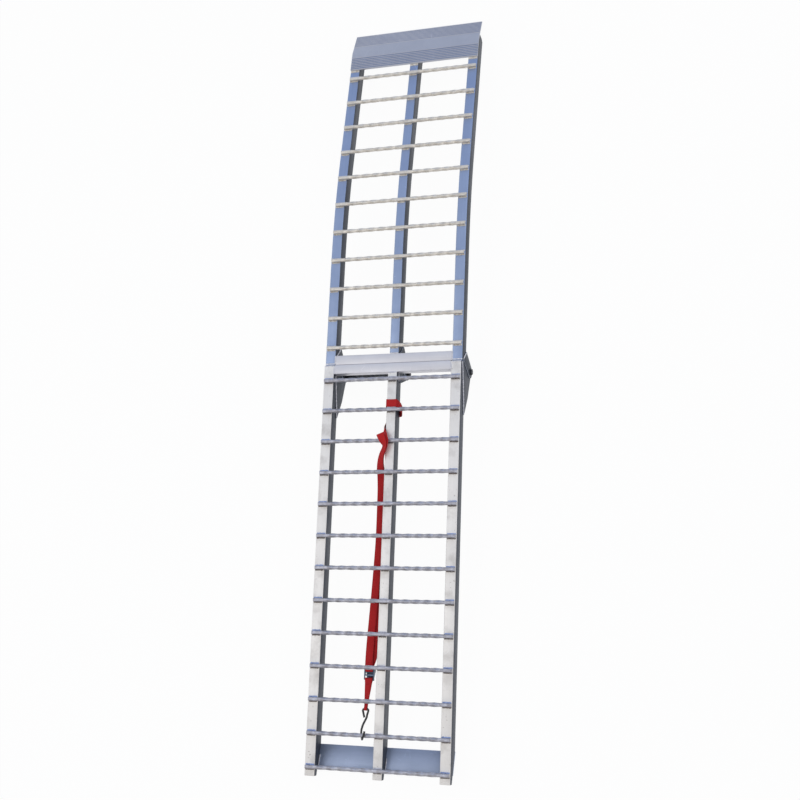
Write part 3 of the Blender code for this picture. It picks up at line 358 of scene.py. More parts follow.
def drawn_metal(name, pale, dull, metallic, rough, pitch=0.0012, length=0.30, specks=0.0):
    """Drawn or rolled metal: fine lines along its run, smudges, scratches and perhaps specks of dirt."""
    material, tree, shader = new_material(name)
    place = object_place(tree)
    drawn = placed_group(tree, DRAWN_LINES, Run=run_map(tree), Line_Pitch=pitch, Line_Length=length)
    marks = placed_group(tree, HANDLING, Place=place, Smudge_Size=0.11, Scratch_Share=0.04)
    share = math_of(tree, "MULTIPLY_ADD", drawn["Mask"], 0.35, times(tree, marks["Smudge"], 0.45))
    bright = tuple(min(1.0, channel * 1.18) for channel in pale)
    colour = mix_colours(tree, share, pale, dull)
    colour = mix_colours(tree, times(tree, marks["Scratch"], 0.5), colour, bright)
    if specks:
        spots = ranged(tree, noise_of(tree, place, 120.0, 4.0), 0.66, 0.74, 0.0, specks)
        dusty = ranged(tree, noise_of(tree, place, 16.0, 4.0), 0.52, 0.70, 0.0, specks * 0.45)
        colour = mix_colours(tree, math_of(tree, "MAXIMUM", spots, dusty), colour, DIRT)
    height = math_of(tree, "ADD", drawn["Height"], times(tree, marks["Scratch"], -0.6))
    feed_all(tree, shader, {
        "Base Color": colour,
        "Roughness": ranged(tree, share, 0.0, 0.8, *rough),
        "Metallic": metallic,
        "Normal": bump_of(tree, height, 0.00006, 0.6),
    })
    return material


def cast_metal(name, pale, dull, metallic, rough, grain=0.00008, blotch=0.012):
    """Rough silver metal with a sandy skin, blotches and a few marks."""
    material, tree, shader = new_material(name)
    place = object_place(tree)
    marks = placed_group(tree, HANDLING, Place=place, Smudge_Size=blotch, Scratch_Share=0.05)
    height = math_of(tree, "ADD", noise_of(tree, place, 900.0), times(tree, marks["Scratch"], -0.5))
    feed_all(tree, shader, {
        "Base Color": mix_colours(tree, marks["Smudge"], pale, dull),
        "Roughness": ranged(tree, marks["Smudge"], 0.0, 1.0, *rough),
        "Metallic": metallic,
        "Normal": bump_of(tree, height, grain, 0.7),
    })
    return material


def weld_metal(name, pale, heat_tint_and_shade, soot_and_shade, soot_and_shade_share):
    """Weld metal: bright ripples with heat tint and a little soot between them; the shaded copy has these
    tones painted blue, as shade.
    """
    material, tree, shader = new_material(name)
    place = object_place(tree)
    marks = placed_group(tree, HANDLING, Place=place, Smudge_Size=0.006, Scratch_Share=0.0)
    tint = ranged(tree, noise_of(tree, place, 140.0), 0.4, 0.62)
    soot_and_shade_patches = ranged(tree, noise_of(tree, place, 260.0, 2.0), 0.5, 0.64, 0.0, soot_and_shade_share)
    feed_all(tree, shader, {
        "Base Color": mix_colours(tree, soot_and_shade_patches, mix_colours(tree, tint, pale, heat_tint_and_shade), soot_and_shade),
        "Roughness": ranged(tree, marks["Smudge"], 0.0, 1.0, 0.34, 0.58),
        "Metallic": 0.75,
        "Normal": bump_of(tree, noise_of(tree, place, 700.0), 0.0001, 0.5),
    })
    return material


def webbing_cloth(name, red, shade):
    """Woven polyester webbing: corded weave with painted shade in its hollows, paler threads, slight fading
    and darker selvedges.
    """
    material, tree, shader = new_material(name)
    weave = placed_group(tree, WEAVE, Run=run_map(tree))
    pale = tuple(min(1.0, channel * 1.4 + 0.01) for channel in red)
    # Painted shade: the weave's hollows take the darker colour
    colour = mix_colours(tree, ranged(tree, weave["Height"], 0.0, 0.7, 1.0, 0.0), red, shade)
    colour = mix_colours(tree, ranged(tree, weave["Thread"], 0.3, 0.7, 0.0, 0.18), colour, pale)
    colour = mix_colours(tree, times(tree, weave["Fade"], 0.08), colour, shade)
    colour = mix_colours(tree, times(tree, weave["Edge"], 0.35), colour, shade)
    feed_all(tree, shader, {
        "Base Color": colour,
        "Roughness": ranged(tree, weave["Height"], 0.0, 1.0, 0.95, 0.72),
        "Sheen Weight": 0.05,
        "Sheen Roughness": 0.4,
        "Normal": bump_of(tree, weave["Height"], 0.00025, 0.8),
    })
    return material


def lacquered(name, colour, worn, rough):
    """Black lacquered wire, worn bright where it rubs."""
    material, tree, shader = new_material(name)
    marks = placed_group(tree, HANDLING, Place=object_place(tree), Smudge_Size=0.009, Scratch_Share=0.06)
    feed_all(tree, shader, {
        "Base Color": mix_colours(tree, times(tree, marks["Scratch"], 0.6), colour, worn),
        "Roughness": ranged(tree, marks["Smudge"], 0.0, 1.0, *rough),
        "Coat Weight": 0.3,
        "Normal": bump_of(tree, marks["Grain"], 0.00005, 0.4),
    })
    return material


LOWER_RAIL = drawn_metal(
    "lower_rail_aluminium", (0.95, 0.925, 0.90), (0.80, 0.775, 0.755), 0.28, (0.40, 0.55), specks=0.75)
# Painted shade: the upper stringers are the lower ones' aluminium, painted darker and blue where their
# tilted faces lie in shade
UPPER_RAIL_PAINTED_SHADE = drawn_metal(
    "upper_rail_painted_shade", (0.36, 0.45, 0.66), (0.26, 0.34, 0.54), 0.65, (0.34, 0.50))
# Painted shade: the side faces of the stringers and hinge plates are painted near black, as shade
FLANK_PAINTED_SHADE = drawn_metal(
    "flank_painted_shade", (0.058, 0.068, 0.092), (0.042, 0.050, 0.068), 0.35, (0.46, 0.60))
BEAM_METAL = drawn_metal(
    "beam_aluminium", (0.76, 0.76, 0.81), (0.62, 0.62, 0.68), 0.55, (0.34, 0.50))
LIP_METAL = drawn_metal(
    "lip_aluminium", (0.56, 0.57, 0.63), (0.44, 0.46, 0.54), 0.60, (0.34, 0.50), 0.0009, 0.12)
# Painted shadow: the floors between the lip's ribs are painted darker and blue, as shadow
GROOVE_PAINTED_SHADOW = drawn_metal(
    "lip_groove_painted_shadow", (0.25, 0.31, 0.47), (0.19, 0.24, 0.38), 0.60, (0.38, 0.54))
FOOT_METAL = drawn_metal(
    "foot_aluminium", (0.38, 0.44, 0.59), (0.30, 0.36, 0.49), 0.65, (0.36, 0.52), 0.0009, 0.12)
PLATE_METAL = drawn_metal(
    "hinge_plate_aluminium", (0.50, 0.54, 0.63), (0.36, 0.40, 0.48), 0.65, (0.36, 0.52))
# Painted light and shade: the rungs are one bar, the lower ones painted darker as shade and the upper ones
# paler as lit
LOWER_RUNG_PAINTED_SHADE = cast_metal(
    "lower_rung_painted_shade_silver", (0.50, 0.51, 0.59), (0.33, 0.32, 0.35), 0.60, (0.34, 0.52))
UPPER_RUNG_PAINTED_LIGHT = cast_metal(
    "upper_rung_painted_light_silver", (0.82, 0.78, 0.72), (0.62, 0.58, 0.53), 0.50, (0.36, 0.54))
STEEL = cast_metal(
    "bolt_steel", (0.10, 0.11, 0.13), (0.06, 0.055, 0.055), 0.80, (0.34, 0.52), 0.00004, 0.010)
BUCKLE_STEEL = cast_metal(
    "buckle_zinc", (0.12, 0.17, 0.25), (0.05, 0.07, 0.11), 0.60, (0.26, 0.44), 0.00003, 0.008)
# Painted light and shade: the shaded weld is painted blue as shade, and the lower weld is darker and the
# upper one paler, following where light falls on each row
LOWER_WELD = weld_metal("lower_weld", (0.34, 0.32, 0.32), (0.20, 0.16, 0.14), (0.08, 0.065, 0.06), 0.7)
SHADED_WELD = weld_metal("shaded_weld", (0.40, 0.50, 0.78), (0.28, 0.37, 0.62), (0.20, 0.26, 0.44), 0.4)
UPPER_WELD = weld_metal("upper_weld", (0.86, 0.83, 0.78), (0.68, 0.62, 0.55), (0.36, 0.32, 0.30), 0.3)
BEAM_WELD = weld_metal("beam_weld", (0.82, 0.82, 0.86), (0.66, 0.66, 0.72), (0.40, 0.40, 0.46), 0.3)
WEBBING = webbing_cloth("red_webbing", (0.58, 0.006, 0.008), (0.24, 0.004, 0.007))
THREAD = webbing_cloth("stitching_thread", (0.30, 0.014, 0.014), (0.14, 0.008, 0.010))
WIRE = lacquered("black_wire", (0.012, 0.012, 0.014), (0.16, 0.16, 0.17), (0.28, 0.48))


def linked(name, mesh):
    piece = bpy.data.objects.new(name, mesh)
    bpy.context.scene.collection.objects.link(piece)
    return piece


# Corners closer than this are joined, and so are faces that turn from each other by less than this
MERGE_DISTANCE = 2e-6
FLAT_ANGLE = math.radians(0.4)

# How squarely a face looks to the side to be mapped as part of a flank, or to be painted in shade as one
SIDE_MAP_SHARE = 0.7
SIDE_SHADE_SHARE = 0.8


def map_run(mesh, run_of, across):
    """Gives a mesh its run map in metres: along its section and round it, or across the ramp and along."""
    layer = mesh.uv_layers.new(name="run")
    for face in mesh.polygons:
        sideways = abs(face.normal.x) > SIDE_MAP_SHARE
        for corner in face.loop_indices:
            point = mesh.vertices[mesh.loops[corner].vertex_index].co
            along, depth = run_of(point)
            if across:
                layer.data[corner].uv = (point.x, along)
            else:
                layer.data[corner].uv = (along, depth if sideways else point.x)


def dressed(node, body, material, soft, angle=28.0, across=False, side_shade_material=None):
    """A copy of a frame node with its flat faces joined and its sharp edges softened by a size.

    It gets its finish, and the faces that look to the side may have their own, painted in shade.
    """
    mesh = frame["nodes"][node].data.copy()
    shape = bmesh.new()
    shape.from_mesh(mesh)
    bmesh.ops.remove_doubles(shape, verts=shape.verts, dist=MERGE_DISTANCE)
    bmesh.ops.dissolve_limit(
        shape, angle_limit=FLAT_ANGLE, verts=shape.verts, edges=shape.edges, use_dissolve_boundaries=False)
    if soft:
        sharp = [
            edge for edge in shape.edges
            if len(edge.link_faces) == 2 and edge.calc_face_angle() > math.radians(angle)
        ]
        bmesh.ops.bevel(
            shape, geom=sharp, offset=soft, segments=2, profile=0.5, affect="EDGES", clamp_overlap=True)
    for layer in list(shape.loops.layers.uv.values()):
        shape.loops.layers.uv.remove(layer)
    shape.to_mesh(mesh)
    shape.free()
    map_run(mesh, upper_run_of if body == "upper_section" else lower_run_of, across)
    mesh.materials.clear()
    mesh.materials.append(material)
    if side_shade_material:
        mesh.materials.append(side_shade_material)
        for face in mesh.polygons:
            face.material_index = int(abs(face.normal.x) > SIDE_SHADE_SHARE)
    mesh.shade_smooth()
    mesh.set_sharp_from_angle(angle=math.radians(40))
    piece = linked(f"dressed_{node}", mesh)
    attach(piece, body)
    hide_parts(node)
    return piece


def paint_groove_shadows(piece):
    """Gives the floors between the lip's ribs their own darker finish, a painted shadow, told by their
    width.
    """
    mesh = piece.data
    mesh.materials.append(GROOVE_PAINTED_SHADOW)
    for face in mesh.polygons:
        corners = [mesh.vertices[number].co for number in face.vertices]
        along = [corner.y for corner in corners]
        up = [corner.z for corner in corners]
        width = math.hypot(max(along) - min(along), max(up) - min(up))
        if GROOVE_WIDTHS[0] < width < GROOVE_WIDTHS[1] and face.normal.z > 0.5:
            face.material_index = 1


def dress_frame():
    """The frame's own pieces in their finishes, apart from the rungs, the webbing and the hook."""
    lower, upper = "lower_section", "upper_section"
    for side in ("left", "centre", "right"):
        dressed(f"lower_stringer_{side}", lower, LOWER_RAIL, 0.0, side_shade_material=FLANK_PAINTED_SHADE)
        dressed(f"upper_stringer_{side}", upper, UPPER_RAIL_PAINTED_SHADE, 0.0, side_shade_material=FLANK_PAINTED_SHADE)
        dressed(f"lower_hinge_plate_{side}", lower, PLATE_METAL, 0.0005, side_shade_material=FLANK_PAINTED_SHADE)
        dressed(f"upper_hinge_plate_{side}", upper, PLATE_METAL, 0.0005, side_shade_material=FLANK_PAINTED_SHADE)
    dressed("lower_hinge_beam", lower, BEAM_METAL, 0.0, across=True)
    dressed("upper_hinge_beam", upper, BEAM_METAL, 0.0, across=True)
    dressed("foot_plate", lower, FOOT_METAL, 0.0007, across=True)
    paint_groove_shadows(dressed("lip_plate", upper, LIP_METAL, 0.0003, 20.0, across=True))
    for node in (
            "pivot_rod", "pivot_nut_left", "pivot_nut_centre", "pivot_spacer", "hinge_bolt_right",
            "hinge_nut_right", "cam_lever_pin"):
        dressed(node, lower, STEEL, 0.0004)
    dressed("cam_buckle_frame", lower, BUCKLE_STEEL, 0.0003)
    dressed("cam_buckle_lever", "cam_lever", BUCKLE_STEEL, 0.0003)


def end_tree(tree, given, out, inputs):
    """Sets instances at points, makes them real and smooth, and gives them the material."""
    spread = add_node(tree, "GeometryNodeInstanceOnPoints", inputs)
    real = add_node(tree, "GeometryNodeRealizeInstances", {"Geometry": spread.outputs[0]})
    smooth = add_node(tree, "GeometryNodeSetShadeSmooth", {"Geometry": real.outputs[0]})
    coat = add_node(tree, "GeometryNodeSetMaterial", {
        "Geometry": smooth.outputs[0], "Material": given.outputs["Material"]})
    feed(tree, out.inputs[0], coat.outputs[0])


def beads_on_lines_tree():
    """Drops that overlap along the lines of a mesh, each turned to its line: a weld bead, or stitches."""
    tree, given, out = node_group(
        "beads_on_lines", "GeometryNodeTree",
        [("Geometry", "Geometry"), ("Pitch", "Float", 0.003), ("Half Length", "Float", 0.0022),
         ("Half Width", "Float", 0.0022), ("Half Height", "Float", 0.0016), ("Unevenness", "Float", 0.15),
         ("Seed", "Int", 3), ("Material", "Material")],
        [("Geometry", "Geometry")],
    )
    sizes = given.outputs
    lines = add_node(tree, "GeometryNodeMeshToCurve", {"Mesh": sizes["Geometry"]})
    spaced = add_node(
        tree, "GeometryNodeResampleCurve", {"Curve": lines.outputs[0], "Length": sizes["Pitch"]},
        mode="LENGTH")
    drop = add_node(tree, "GeometryNodeMeshIcoSphere", {"Radius": 1.0, "Subdivisions": 2})
    tangent = tree.nodes.new("GeometryNodeInputTangent")
    along = add_node(tree, "FunctionNodeAlignRotationToVector", {"Vector": tangent.outputs[0]}, axis="X")
    upright = add_node(
        tree, "FunctionNodeAlignRotationToVector",
        {"Rotation": along.outputs[0], "Vector": (0.0, 0.0, 1.0)}, axis="Z", pivot_axis="X")
    size = add_node(tree, "ShaderNodeCombineXYZ", {
        0: sizes["Half Length"], 1: sizes["Half Width"], 2: sizes["Half Height"]})
    vary = add_node(tree, "FunctionNodeRandomValue", {"Seed": sizes["Seed"]}, data_type="FLOAT")
    floats = [socket for socket in vary.inputs if socket.type == "VALUE"]
    feed(tree, floats[0], math_of(tree, "SUBTRACT", 1.0, sizes["Unevenness"]))
    feed(tree, floats[1], math_of(tree, "ADD", 1.0, sizes["Unevenness"]))
    share = next(socket for socket in vary.outputs if socket.type == "VALUE")
    scaled = add_node(tree, "ShaderNodeVectorMath", {0: size.outputs[0], "Scale": share}, operation="SCALE")
    end_tree(tree, given, out, {
        "Points": spaced.outputs[0],
        "Instance": drop.outputs["Mesh"],
        "Rotation": upright.outputs[0],
        "Scale": scaled.outputs[0],
    })
    return tree


def twisted_rungs_tree():
    """A square bar twisted in its two bays, set at every point of a mesh and leant as the point says."""
    tree, given, out = node_group(
        "twisted_rungs", "GeometryNodeTree",
        [("Geometry", "Geometry"), ("Bar Size", "Float", 0.011), ("Edge Radius", "Float", 0.0024),
         ("Half Length", "Float", 0.2255), ("Plain Start", "Float", -0.015), ("Plain End", "Float", 0.022),
         ("Bay End", "Float", 0.19), ("Bay Turn", "Float", 7.85), ("Steps", "Int", 110),
         ("Material", "Material")],
        [("Geometry", "Geometry")],
    )
    sizes = given.outputs
    start, end = (
        add_node(tree, "ShaderNodeCombineXYZ", {0: times(tree, sizes["Half Length"], sign)}).outputs[0]
        for sign in (-1.0, 1.0)
    )
    line = add_node(tree, "GeometryNodeCurvePrimitiveLine", {"Start": start, "End": end})
    stations = add_node(tree, "GeometryNodeResampleCurve", {
        "Curve": line.outputs[0], "Count": sizes["Steps"]})
    upright = add_node(tree, "GeometryNodeSetCurveNormal", {"Curve": stations.outputs[0]}, mode="Z_UP")
    place = tree.nodes.new("GeometryNodeInputPosition")
    across = add_node(tree, "ShaderNodeSeparateXYZ", {0: place.outputs[0]}).outputs[0]
    bay_start = times(tree, sizes["Bay End"], -1.0)
    left = ranged(tree, across, bay_start, sizes["Plain Start"], 0.0, sizes["Bay Turn"])
    right = ranged(tree, across, sizes["Plain End"], sizes["Bay End"], 0.0, sizes["Bay Turn"])
    twist = add_node(tree, "GeometryNodeSetCurveTilt", {
        "Curve": upright.outputs[0], "Tilt": math_of(tree, "ADD", left, right)})
    square = add_node(tree, "GeometryNodeCurvePrimitiveQuadrilateral", {
        "Width": sizes["Bar Size"], "Height": sizes["Bar Size"]})
    rounded = add_node(
        tree, "GeometryNodeFilletCurve",
        {"Curve": square.outputs[0], "Count": 2, "Radius": sizes["Edge Radius"]}, mode="POLY")
    bar = add_node(tree, "GeometryNodeCurveToMesh", {
        "Curve": twist.outputs[0], "Profile Curve": rounded.outputs[0], "Fill Caps": True})
    lean = add_node(tree, "GeometryNodeInputNamedAttribute", {"Name": "lean"}, data_type="FLOAT")
    turned = add_node(tree, "ShaderNodeCombineXYZ", {0: lean.outputs[0]})
    end_tree(tree, given, out, {
        "Points": sizes["Geometry"],
        "Instance": bar.outputs[0],
        "Rotation": turned.outputs[0],
    })
    return tree


BEADS = beads_on_lines_tree()
TWISTED_RUNGS = twisted_rungs_tree()


def plain_mesh(source):
    """The finished shape of an object as a plain mesh; the object itself is removed."""
    bpy.context.view_layer.update()
    mesh = bpy.data.meshes.new_from_object(source.evaluated_get(bpy.context.evaluated_depsgraph_get()))
    bpy.data.objects.remove(source, do_unlink=True)
    return mesh


def grown(name, guide, tree, body, **values):
    """Runs a geometry tree on a guide mesh and keeps the result as a plain mesh that rides on a body."""
    source = linked(name + "_guide", guide)
    step = source.modifiers.new("grown", "NODES")
    step.node_group = tree
    sockets = {
        item.name: item for item in tree.interface.items_tree if getattr(item, "in_out", "") == "INPUT"
    }
    for key, value in values.items():
        step[sockets[key.replace("_", " ")].identifier] = value
    mesh = plain_mesh(source)
    mesh.name = name
    piece = linked(name, mesh)
    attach(piece, body)
    return piece


def guide_lines(lines):
    """A mesh of separate polylines."""
    mesh = bpy.data.meshes.new("guide")
    points, edges = [], []
    for line in lines:
        edges += [(len(points) + step, len(points) + step + 1) for step in range(len(line) - 1)]
        points += [tuple(point) for point in line]
    mesh.from_pydata(points, edges, [])
    return mesh


def add_rungs():
    """The twisted rungs, in place of the frame's, each leant with the deck under it."""
    lift = -(CLEARANCE + RUNG_SIZE / 2)
    for body, count, first, metal in (
            ("lower_section", LOWER_RUNGS, LOWER_FIRST_RUNG, LOWER_RUNG_PAINTED_SHADE),
            ("upper_section", UPPER_RUNGS, UPPER_FIRST_RUNG, UPPER_RUNG_PAINTED_LIGHT)):
        section = body.split("_")[0]
        points, leans = [], []
        for number in range(count):
            along = first + number * RUNG_PITCH
            if section == "lower":
                points.append(lower_place(LOWER_SHIFT, along, lift))
                leans.append(stand_tilt)
            else:
                points.append(upper_place(0.0, along, lift))
                leans.append(stand_tilt - SEAM_ANGLE - bend_at(along)[0])
        guide = bpy.data.meshes.new("rung_places")
        guide.from_pydata([tuple(point) for point in points], [], [])
        guide.attributes.new("lean", "FLOAT", "POINT").data.foreach_set("value", leans)
        rungs = grown(
            f"{section}_twisted_rungs", guide, TWISTED_RUNGS, body,
            Bar_Size=RUNG_SIZE, Half_Length=RAMP_WIDTH / 2 - RUNG_INSET,
            Plain_Start=CENTRE_PLACE - CENTRE_WIDTH / 2 - RUNG_PLAIN_MARGIN,
            Plain_End=CENTRE_PLACE + CENTRE_WIDTH / 2 + RUNG_PLAIN_MARGIN,
            Bay_End=OUTER_STRINGER - STRINGER_WIDTH / 2 - RUNG_PLAIN_MARGIN,
            Bay_Turn=RUNG_QUARTER_TURNS * math.pi / 2, Material=metal,
        )
        rungs.data.set_sharp_from_angle(angle=math.radians(60))
        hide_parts(*[f"{section}_rung_{number + 1:02d}" for number in range(count)])


def line_between(start, end, steps=6):
    return [start.lerp(end, step / steps) for step in range(steps + 1)]


def bead(place, start, end, steps=6):
    """A line between two places of a section, each given across, along and under the deck."""
    return line_between(place(*start), place(*end), steps)


def cross_bead(place, left, right, along, depth):
    """A line across a section, from left to right."""
    return bead(place, (left, along, depth), (right, along, depth))


# Half widths and half heights of the weld beads
RUNG_BEAD = (0.0028, 0.0021)
BEAM_BEAD = (0.0028, 0.0013)
LOWER_PLATE_BEAD = (0.0024, 0.0020)
UPPER_PLATE_BEAD = (0.0022, 0.0020)
LIP_BEAD = (0.0028, 0.0018)
FOOT_BEAD = (0.0022, 0.0016)
FOOT_CORNER_BEAD = (0.0024, 0.0018)
CAP_BEAD = (0.0022, 0.0008)

# Where the beads run, beside the parts they join and in from the parts' ends
RUNG_BEAD_ASIDE = 0.0013
RUNG_BEAD_DEPTH = -0.0002
RUNG_BEAD_MARGIN = 0.0045
BEAD_MARGIN = 0.003
BEAM_BEAD_ASIDE = 0.0008
BEAM_BEAD_ENDS = (0.004, 0.028)
BEAM_SIDE_BEAD_DEPTH = 0.0004
BEAM_FACE_BEAD_DEPTH = 0.0002
LOWER_PLATE_BEAD_ASIDE = 0.0016
LOWER_PLATE_BEAD_MARGIN = 0.004
LOWER_PLATE_BEAD_RISE = 0.0006
UPPER_PLATE_BEAD_ASIDE = 0.0018
UPPER_PLATE_BEAD_ENDS = (0.006, 0.0335)
UPPER_BAY_BEAD_ENDS = (BEAM_WIDTH + 0.002, 0.0635)
UPPER_PLATE_BEAD_MARGIN = 0.001
PLATE_SEAM_INSET = 0.0007
LIP_BEAD_ASIDE = 0.0010
LIP_BEAD_ROWS = (0.0012, 0.0052)
LIP_BEAD_START = 0.004
LIP_BEAD_END = 0.006
LIP_ROW_DEPTH = -0.0004
LIP_SIDE_DEPTH = 0.0010
FOOT_BEAD_BACK = 0.0045
FOOT_BEAD_DROP = 0.0012
FOOT_CORNER_BEAD_ENDS = (0.030, 0.064)
FOOT_CORNER_BEAD_RISE = 0.0010
CAP_REACH = STRINGER_WIDTH / 2 - 0.0025
CAP_BEAD_ALONG = 0.0030
CAP_BEAD_DEPTH = 0.0001
PLATE_BEAD_PITCH = 0.0034
UPPER_PLATE_BEAD_PITCH = 0.0032
CAP_BEAD_PITCH = 0.0026

# Each section's body, its places and its shift to the side
SECTIONS = (("lower_section", lower_place, LOWER_SHIFT), ("upper_section", upper_place, 0.0))


def add_beads(name, lines, body, size, seed, metal, **more):
    """Weld beads along lines, of a half width and a half height."""
    grown(name, guide_lines(lines), BEADS, body, Half_Width=size[0], Half_Height=size[1], Seed=seed,
          Material=metal, **more)


def rung_weld_lines(place, shift, count, first, side, stringers=STRINGERS):
    """Lines along one side of every rung, over each stringer."""
    gap = RUNG_SIZE / 2 + RUNG_BEAD_ASIDE
    return [
        cross_bead(
            place, centre + shift - half + RUNG_BEAD_MARGIN, centre + shift + half - RUNG_BEAD_MARGIN,
            first + number * RUNG_PITCH + side * gap, RUNG_BEAD_DEPTH)
        for number in range(count)
        for centre, half in stringers
    ]


def add_rung_welds():
    """Beads on both sides of the rungs, with finishes that follow how the light falls on each row."""
    for side, name, weld, stringers in (
            (-1, "lower_rung_welds_near_seam", SHADED_WELD, (STRINGERS[0], STRINGERS[2])),
            (-1, "centre_rung_welds_near_seam", BEAM_WELD, (STRINGERS[1],)),
            (1, "lower_rung_welds_near_foot", LOWER_WELD, STRINGERS)):
        lines = rung_weld_lines(lower_place, LOWER_SHIFT, LOWER_RUNGS, LOWER_FIRST_RUNG, side, stringers)
        add_beads(name, lines, "lower_section", RUNG_BEAD, 5, weld)
    lines = [
        line
        for side in (-1, 1)
        for line in rung_weld_lines(upper_place, 0.0, UPPER_RUNGS, UPPER_FIRST_RUNG, side)
    ]
    add_beads("upper_rung_welds", lines, "upper_section", RUNG_BEAD, 7, UPPER_WELD)


def add_beam_welds():
    """Beads where each cross beam meets the stringers."""
    inner = OUTER_STRINGER - STRINGER_WIDTH / 2
    reach = CENTRE_WIDTH / 2 - BEAD_MARGIN
    for body, place, shift in SECTIONS:
        section = body.split("_")[0]
        lines = [
            bead(place, *[(side * inner + shift, end, BEAM_SIDE_BEAD_DEPTH) for end in BEAM_BEAD_ENDS])
            for side in (-1, 1)
        ]
        middle = CENTRE_PLACE + shift
        lines.append(cross_bead(
            place, middle - reach, middle + reach, BEAM_WIDTH + BEAM_BEAD_ASIDE, BEAM_FACE_BEAD_DEPTH))
        add_beads(f"{section}_beam_welds", lines, body, BEAM_BEAD, 11, BEAM_WELD, Pitch=PLATE_BEAD_PITCH)


def add_lower_plate_welds():
    """Beads along the lower hinge plates' sloped upper edges, on the stringers' right faces.

    The bead over the short centre plate keeps the long plates' slope.
    """
    slope = (LOWER_PLATE_TIP - PLATE_TOP) / LOWER_PLATE_REACH
    lines = []
    for centre, half in STRINGERS:
        reach = CENTRE_PLATE_REACH if half < STRINGER_WIDTH / 2 else LOWER_PLATE_REACH
        end = reach - LOWER_PLATE_BEAD_MARGIN
        start = LOWER_PLATE_BEAD_MARGIN if centre > 0 else BEAM_WIDTH + LOWER_PLATE_BEAD_MARGIN
        across = centre + LOWER_SHIFT + half + LOWER_PLATE_BEAD_ASIDE
        ends = [
            (across, along, PLATE_TOP + along * slope - LOWER_PLATE_BEAD_RISE) for along in (start, end)
        ]
        lines.append(bead(lower_place, *ends, 12))
    add_beads(
        "lower_plate_welds", lines, "lower_section", LOWER_PLATE_BEAD, 13, BEAM_WELD,
        Pitch=PLATE_BEAD_PITCH)


def add_upper_plate_welds():
    """Beads down the sloped ends of the upper hinge plates."""
    lines = []
    for centre, half in STRINGERS:
        start, end = UPPER_PLATE_BEAD_ENDS if centre > 0 else UPPER_BAY_BEAD_ENDS
        across = centre + half + UPPER_PLATE_BEAD_ASIDE
        lines.append(bead(
            upper_place, (across, start + PLATE_SEAM_INSET, PLATE_TOP + UPPER_PLATE_BEAD_MARGIN),
            (across, end + PLATE_SEAM_INSET, UPPER_PLATE_TIP - UPPER_PLATE_BEAD_MARGIN), 10))
    add_beads(
        "upper_plate_welds", lines, "upper_section", UPPER_PLATE_BEAD, 17, BEAM_WELD,
        Pitch=UPPER_PLATE_BEAD_PITCH)


def add_lip_welds():
    """Beads round each stringer where the lip plate lies on it."""
    lines = []
    for centre, half in STRINGERS:
        reach = half - BEAD_MARGIN
        for back in LIP_BEAD_ROWS:
            lines.append(cross_bead(
                upper_place, centre - reach, centre + reach, LIP_PLATE_START - back, LIP_ROW_DEPTH))
        for side in (-1, 1):
            across = centre + side * (half + LIP_BEAD_ASIDE)
            if abs(across) < RAMP_WIDTH / 2 - LIP_BEAD_ASIDE:
                lines.append(bead(
                    upper_place, (across, LIP_PLATE_START + LIP_BEAD_START, LIP_SIDE_DEPTH),
                    (across, LIP_BEND - LIP_BEAD_END, LIP_SIDE_DEPTH)))
    add_beads("lip_plate_welds", lines, "upper_section", LIP_BEAD, 19, UPPER_WELD)


def add_foot_welds():
    """Beads across the undersides before the foot's taper, and down the tapers beside the foot plate."""
    lines = []
    for centre, half in STRINGERS:
        left = centre + LOWER_SHIFT - half + BEAD_MARGIN
        right = centre + LOWER_SHIFT + half - BEAD_MARGIN
        lines.append(cross_bead(
            lower_place, left, right, TAPER_START - FOOT_BEAD_BACK, STRINGER_DEPTH + FOOT_BEAD_DROP))
    add_beads("foot_plate_welds", lines, "lower_section", FOOT_BEAD, 23, LOWER_WELD)
    lines = []
    for centre, half in STRINGERS[:2]:
        across = centre + LOWER_SHIFT + half + LOWER_PLATE_BEAD_ASIDE
        ends = [
            (
                across,
                TAPER_START + past,
                STRINGER_DEPTH - past * math.tan(TAPER_SLOPE) - FOOT_CORNER_BEAD_RISE,
            )
            for past in FOOT_CORNER_BEAD_ENDS
        ]
        lines.append(bead(lower_place, *ends, 8))
    add_beads("foot_plate_beads", lines, "lower_section", FOOT_CORNER_BEAD, 37, BEAM_WELD)


def add_cap_welds():
    """Beads over the caps at the outer stringers' ends beside the seam."""
    for body, place, shift in SECTIONS:
        section = body.split("_")[0]
        lines = []
        for side in (-1, 1):
            middle = side * OUTER_STRINGER + shift
            lines.append(cross_bead(
                place, middle - CAP_REACH, middle + CAP_REACH, CAP_BEAD_ALONG, CAP_BEAD_DEPTH))
        add_beads(f"{section}_cap_welds", lines, body, CAP_BEAD, 29, BEAM_WELD,
                  Half_Length=0.0024, Pitch=CAP_BEAD_PITCH)


def smooth_path(points, steps, closed=False):
    """Points read from a smooth curve through the given ones, whatever they hold besides a place."""
    count = len(points)
    spans = count if closed else count - 1
    path = []
    for span in range(spans):
        if closed:
            near = [points[(span + offset) % count] for offset in (-1, 0, 1, 2)]
        else:
            near = [points[min(max(span + offset, 0), count - 1)] for offset in (-1, 0, 1, 2)]
        for step in range(steps):
            t = step / steps
            weights = (
                (-t + 2 * t**2 - t**3) / 2,
                (2 - 5 * t**2 + 3 * t**3) / 2,
                (t + 4 * t**2 - 3 * t**3) / 2,
                (-(t**2) + t**3) / 2,
            )
            path.append(tuple(
                sum(weight * value for weight, value in zip(weights, values)) for values in zip(*near)))
    if not closed:
        path.append(tuple(points[-1]))
    return path


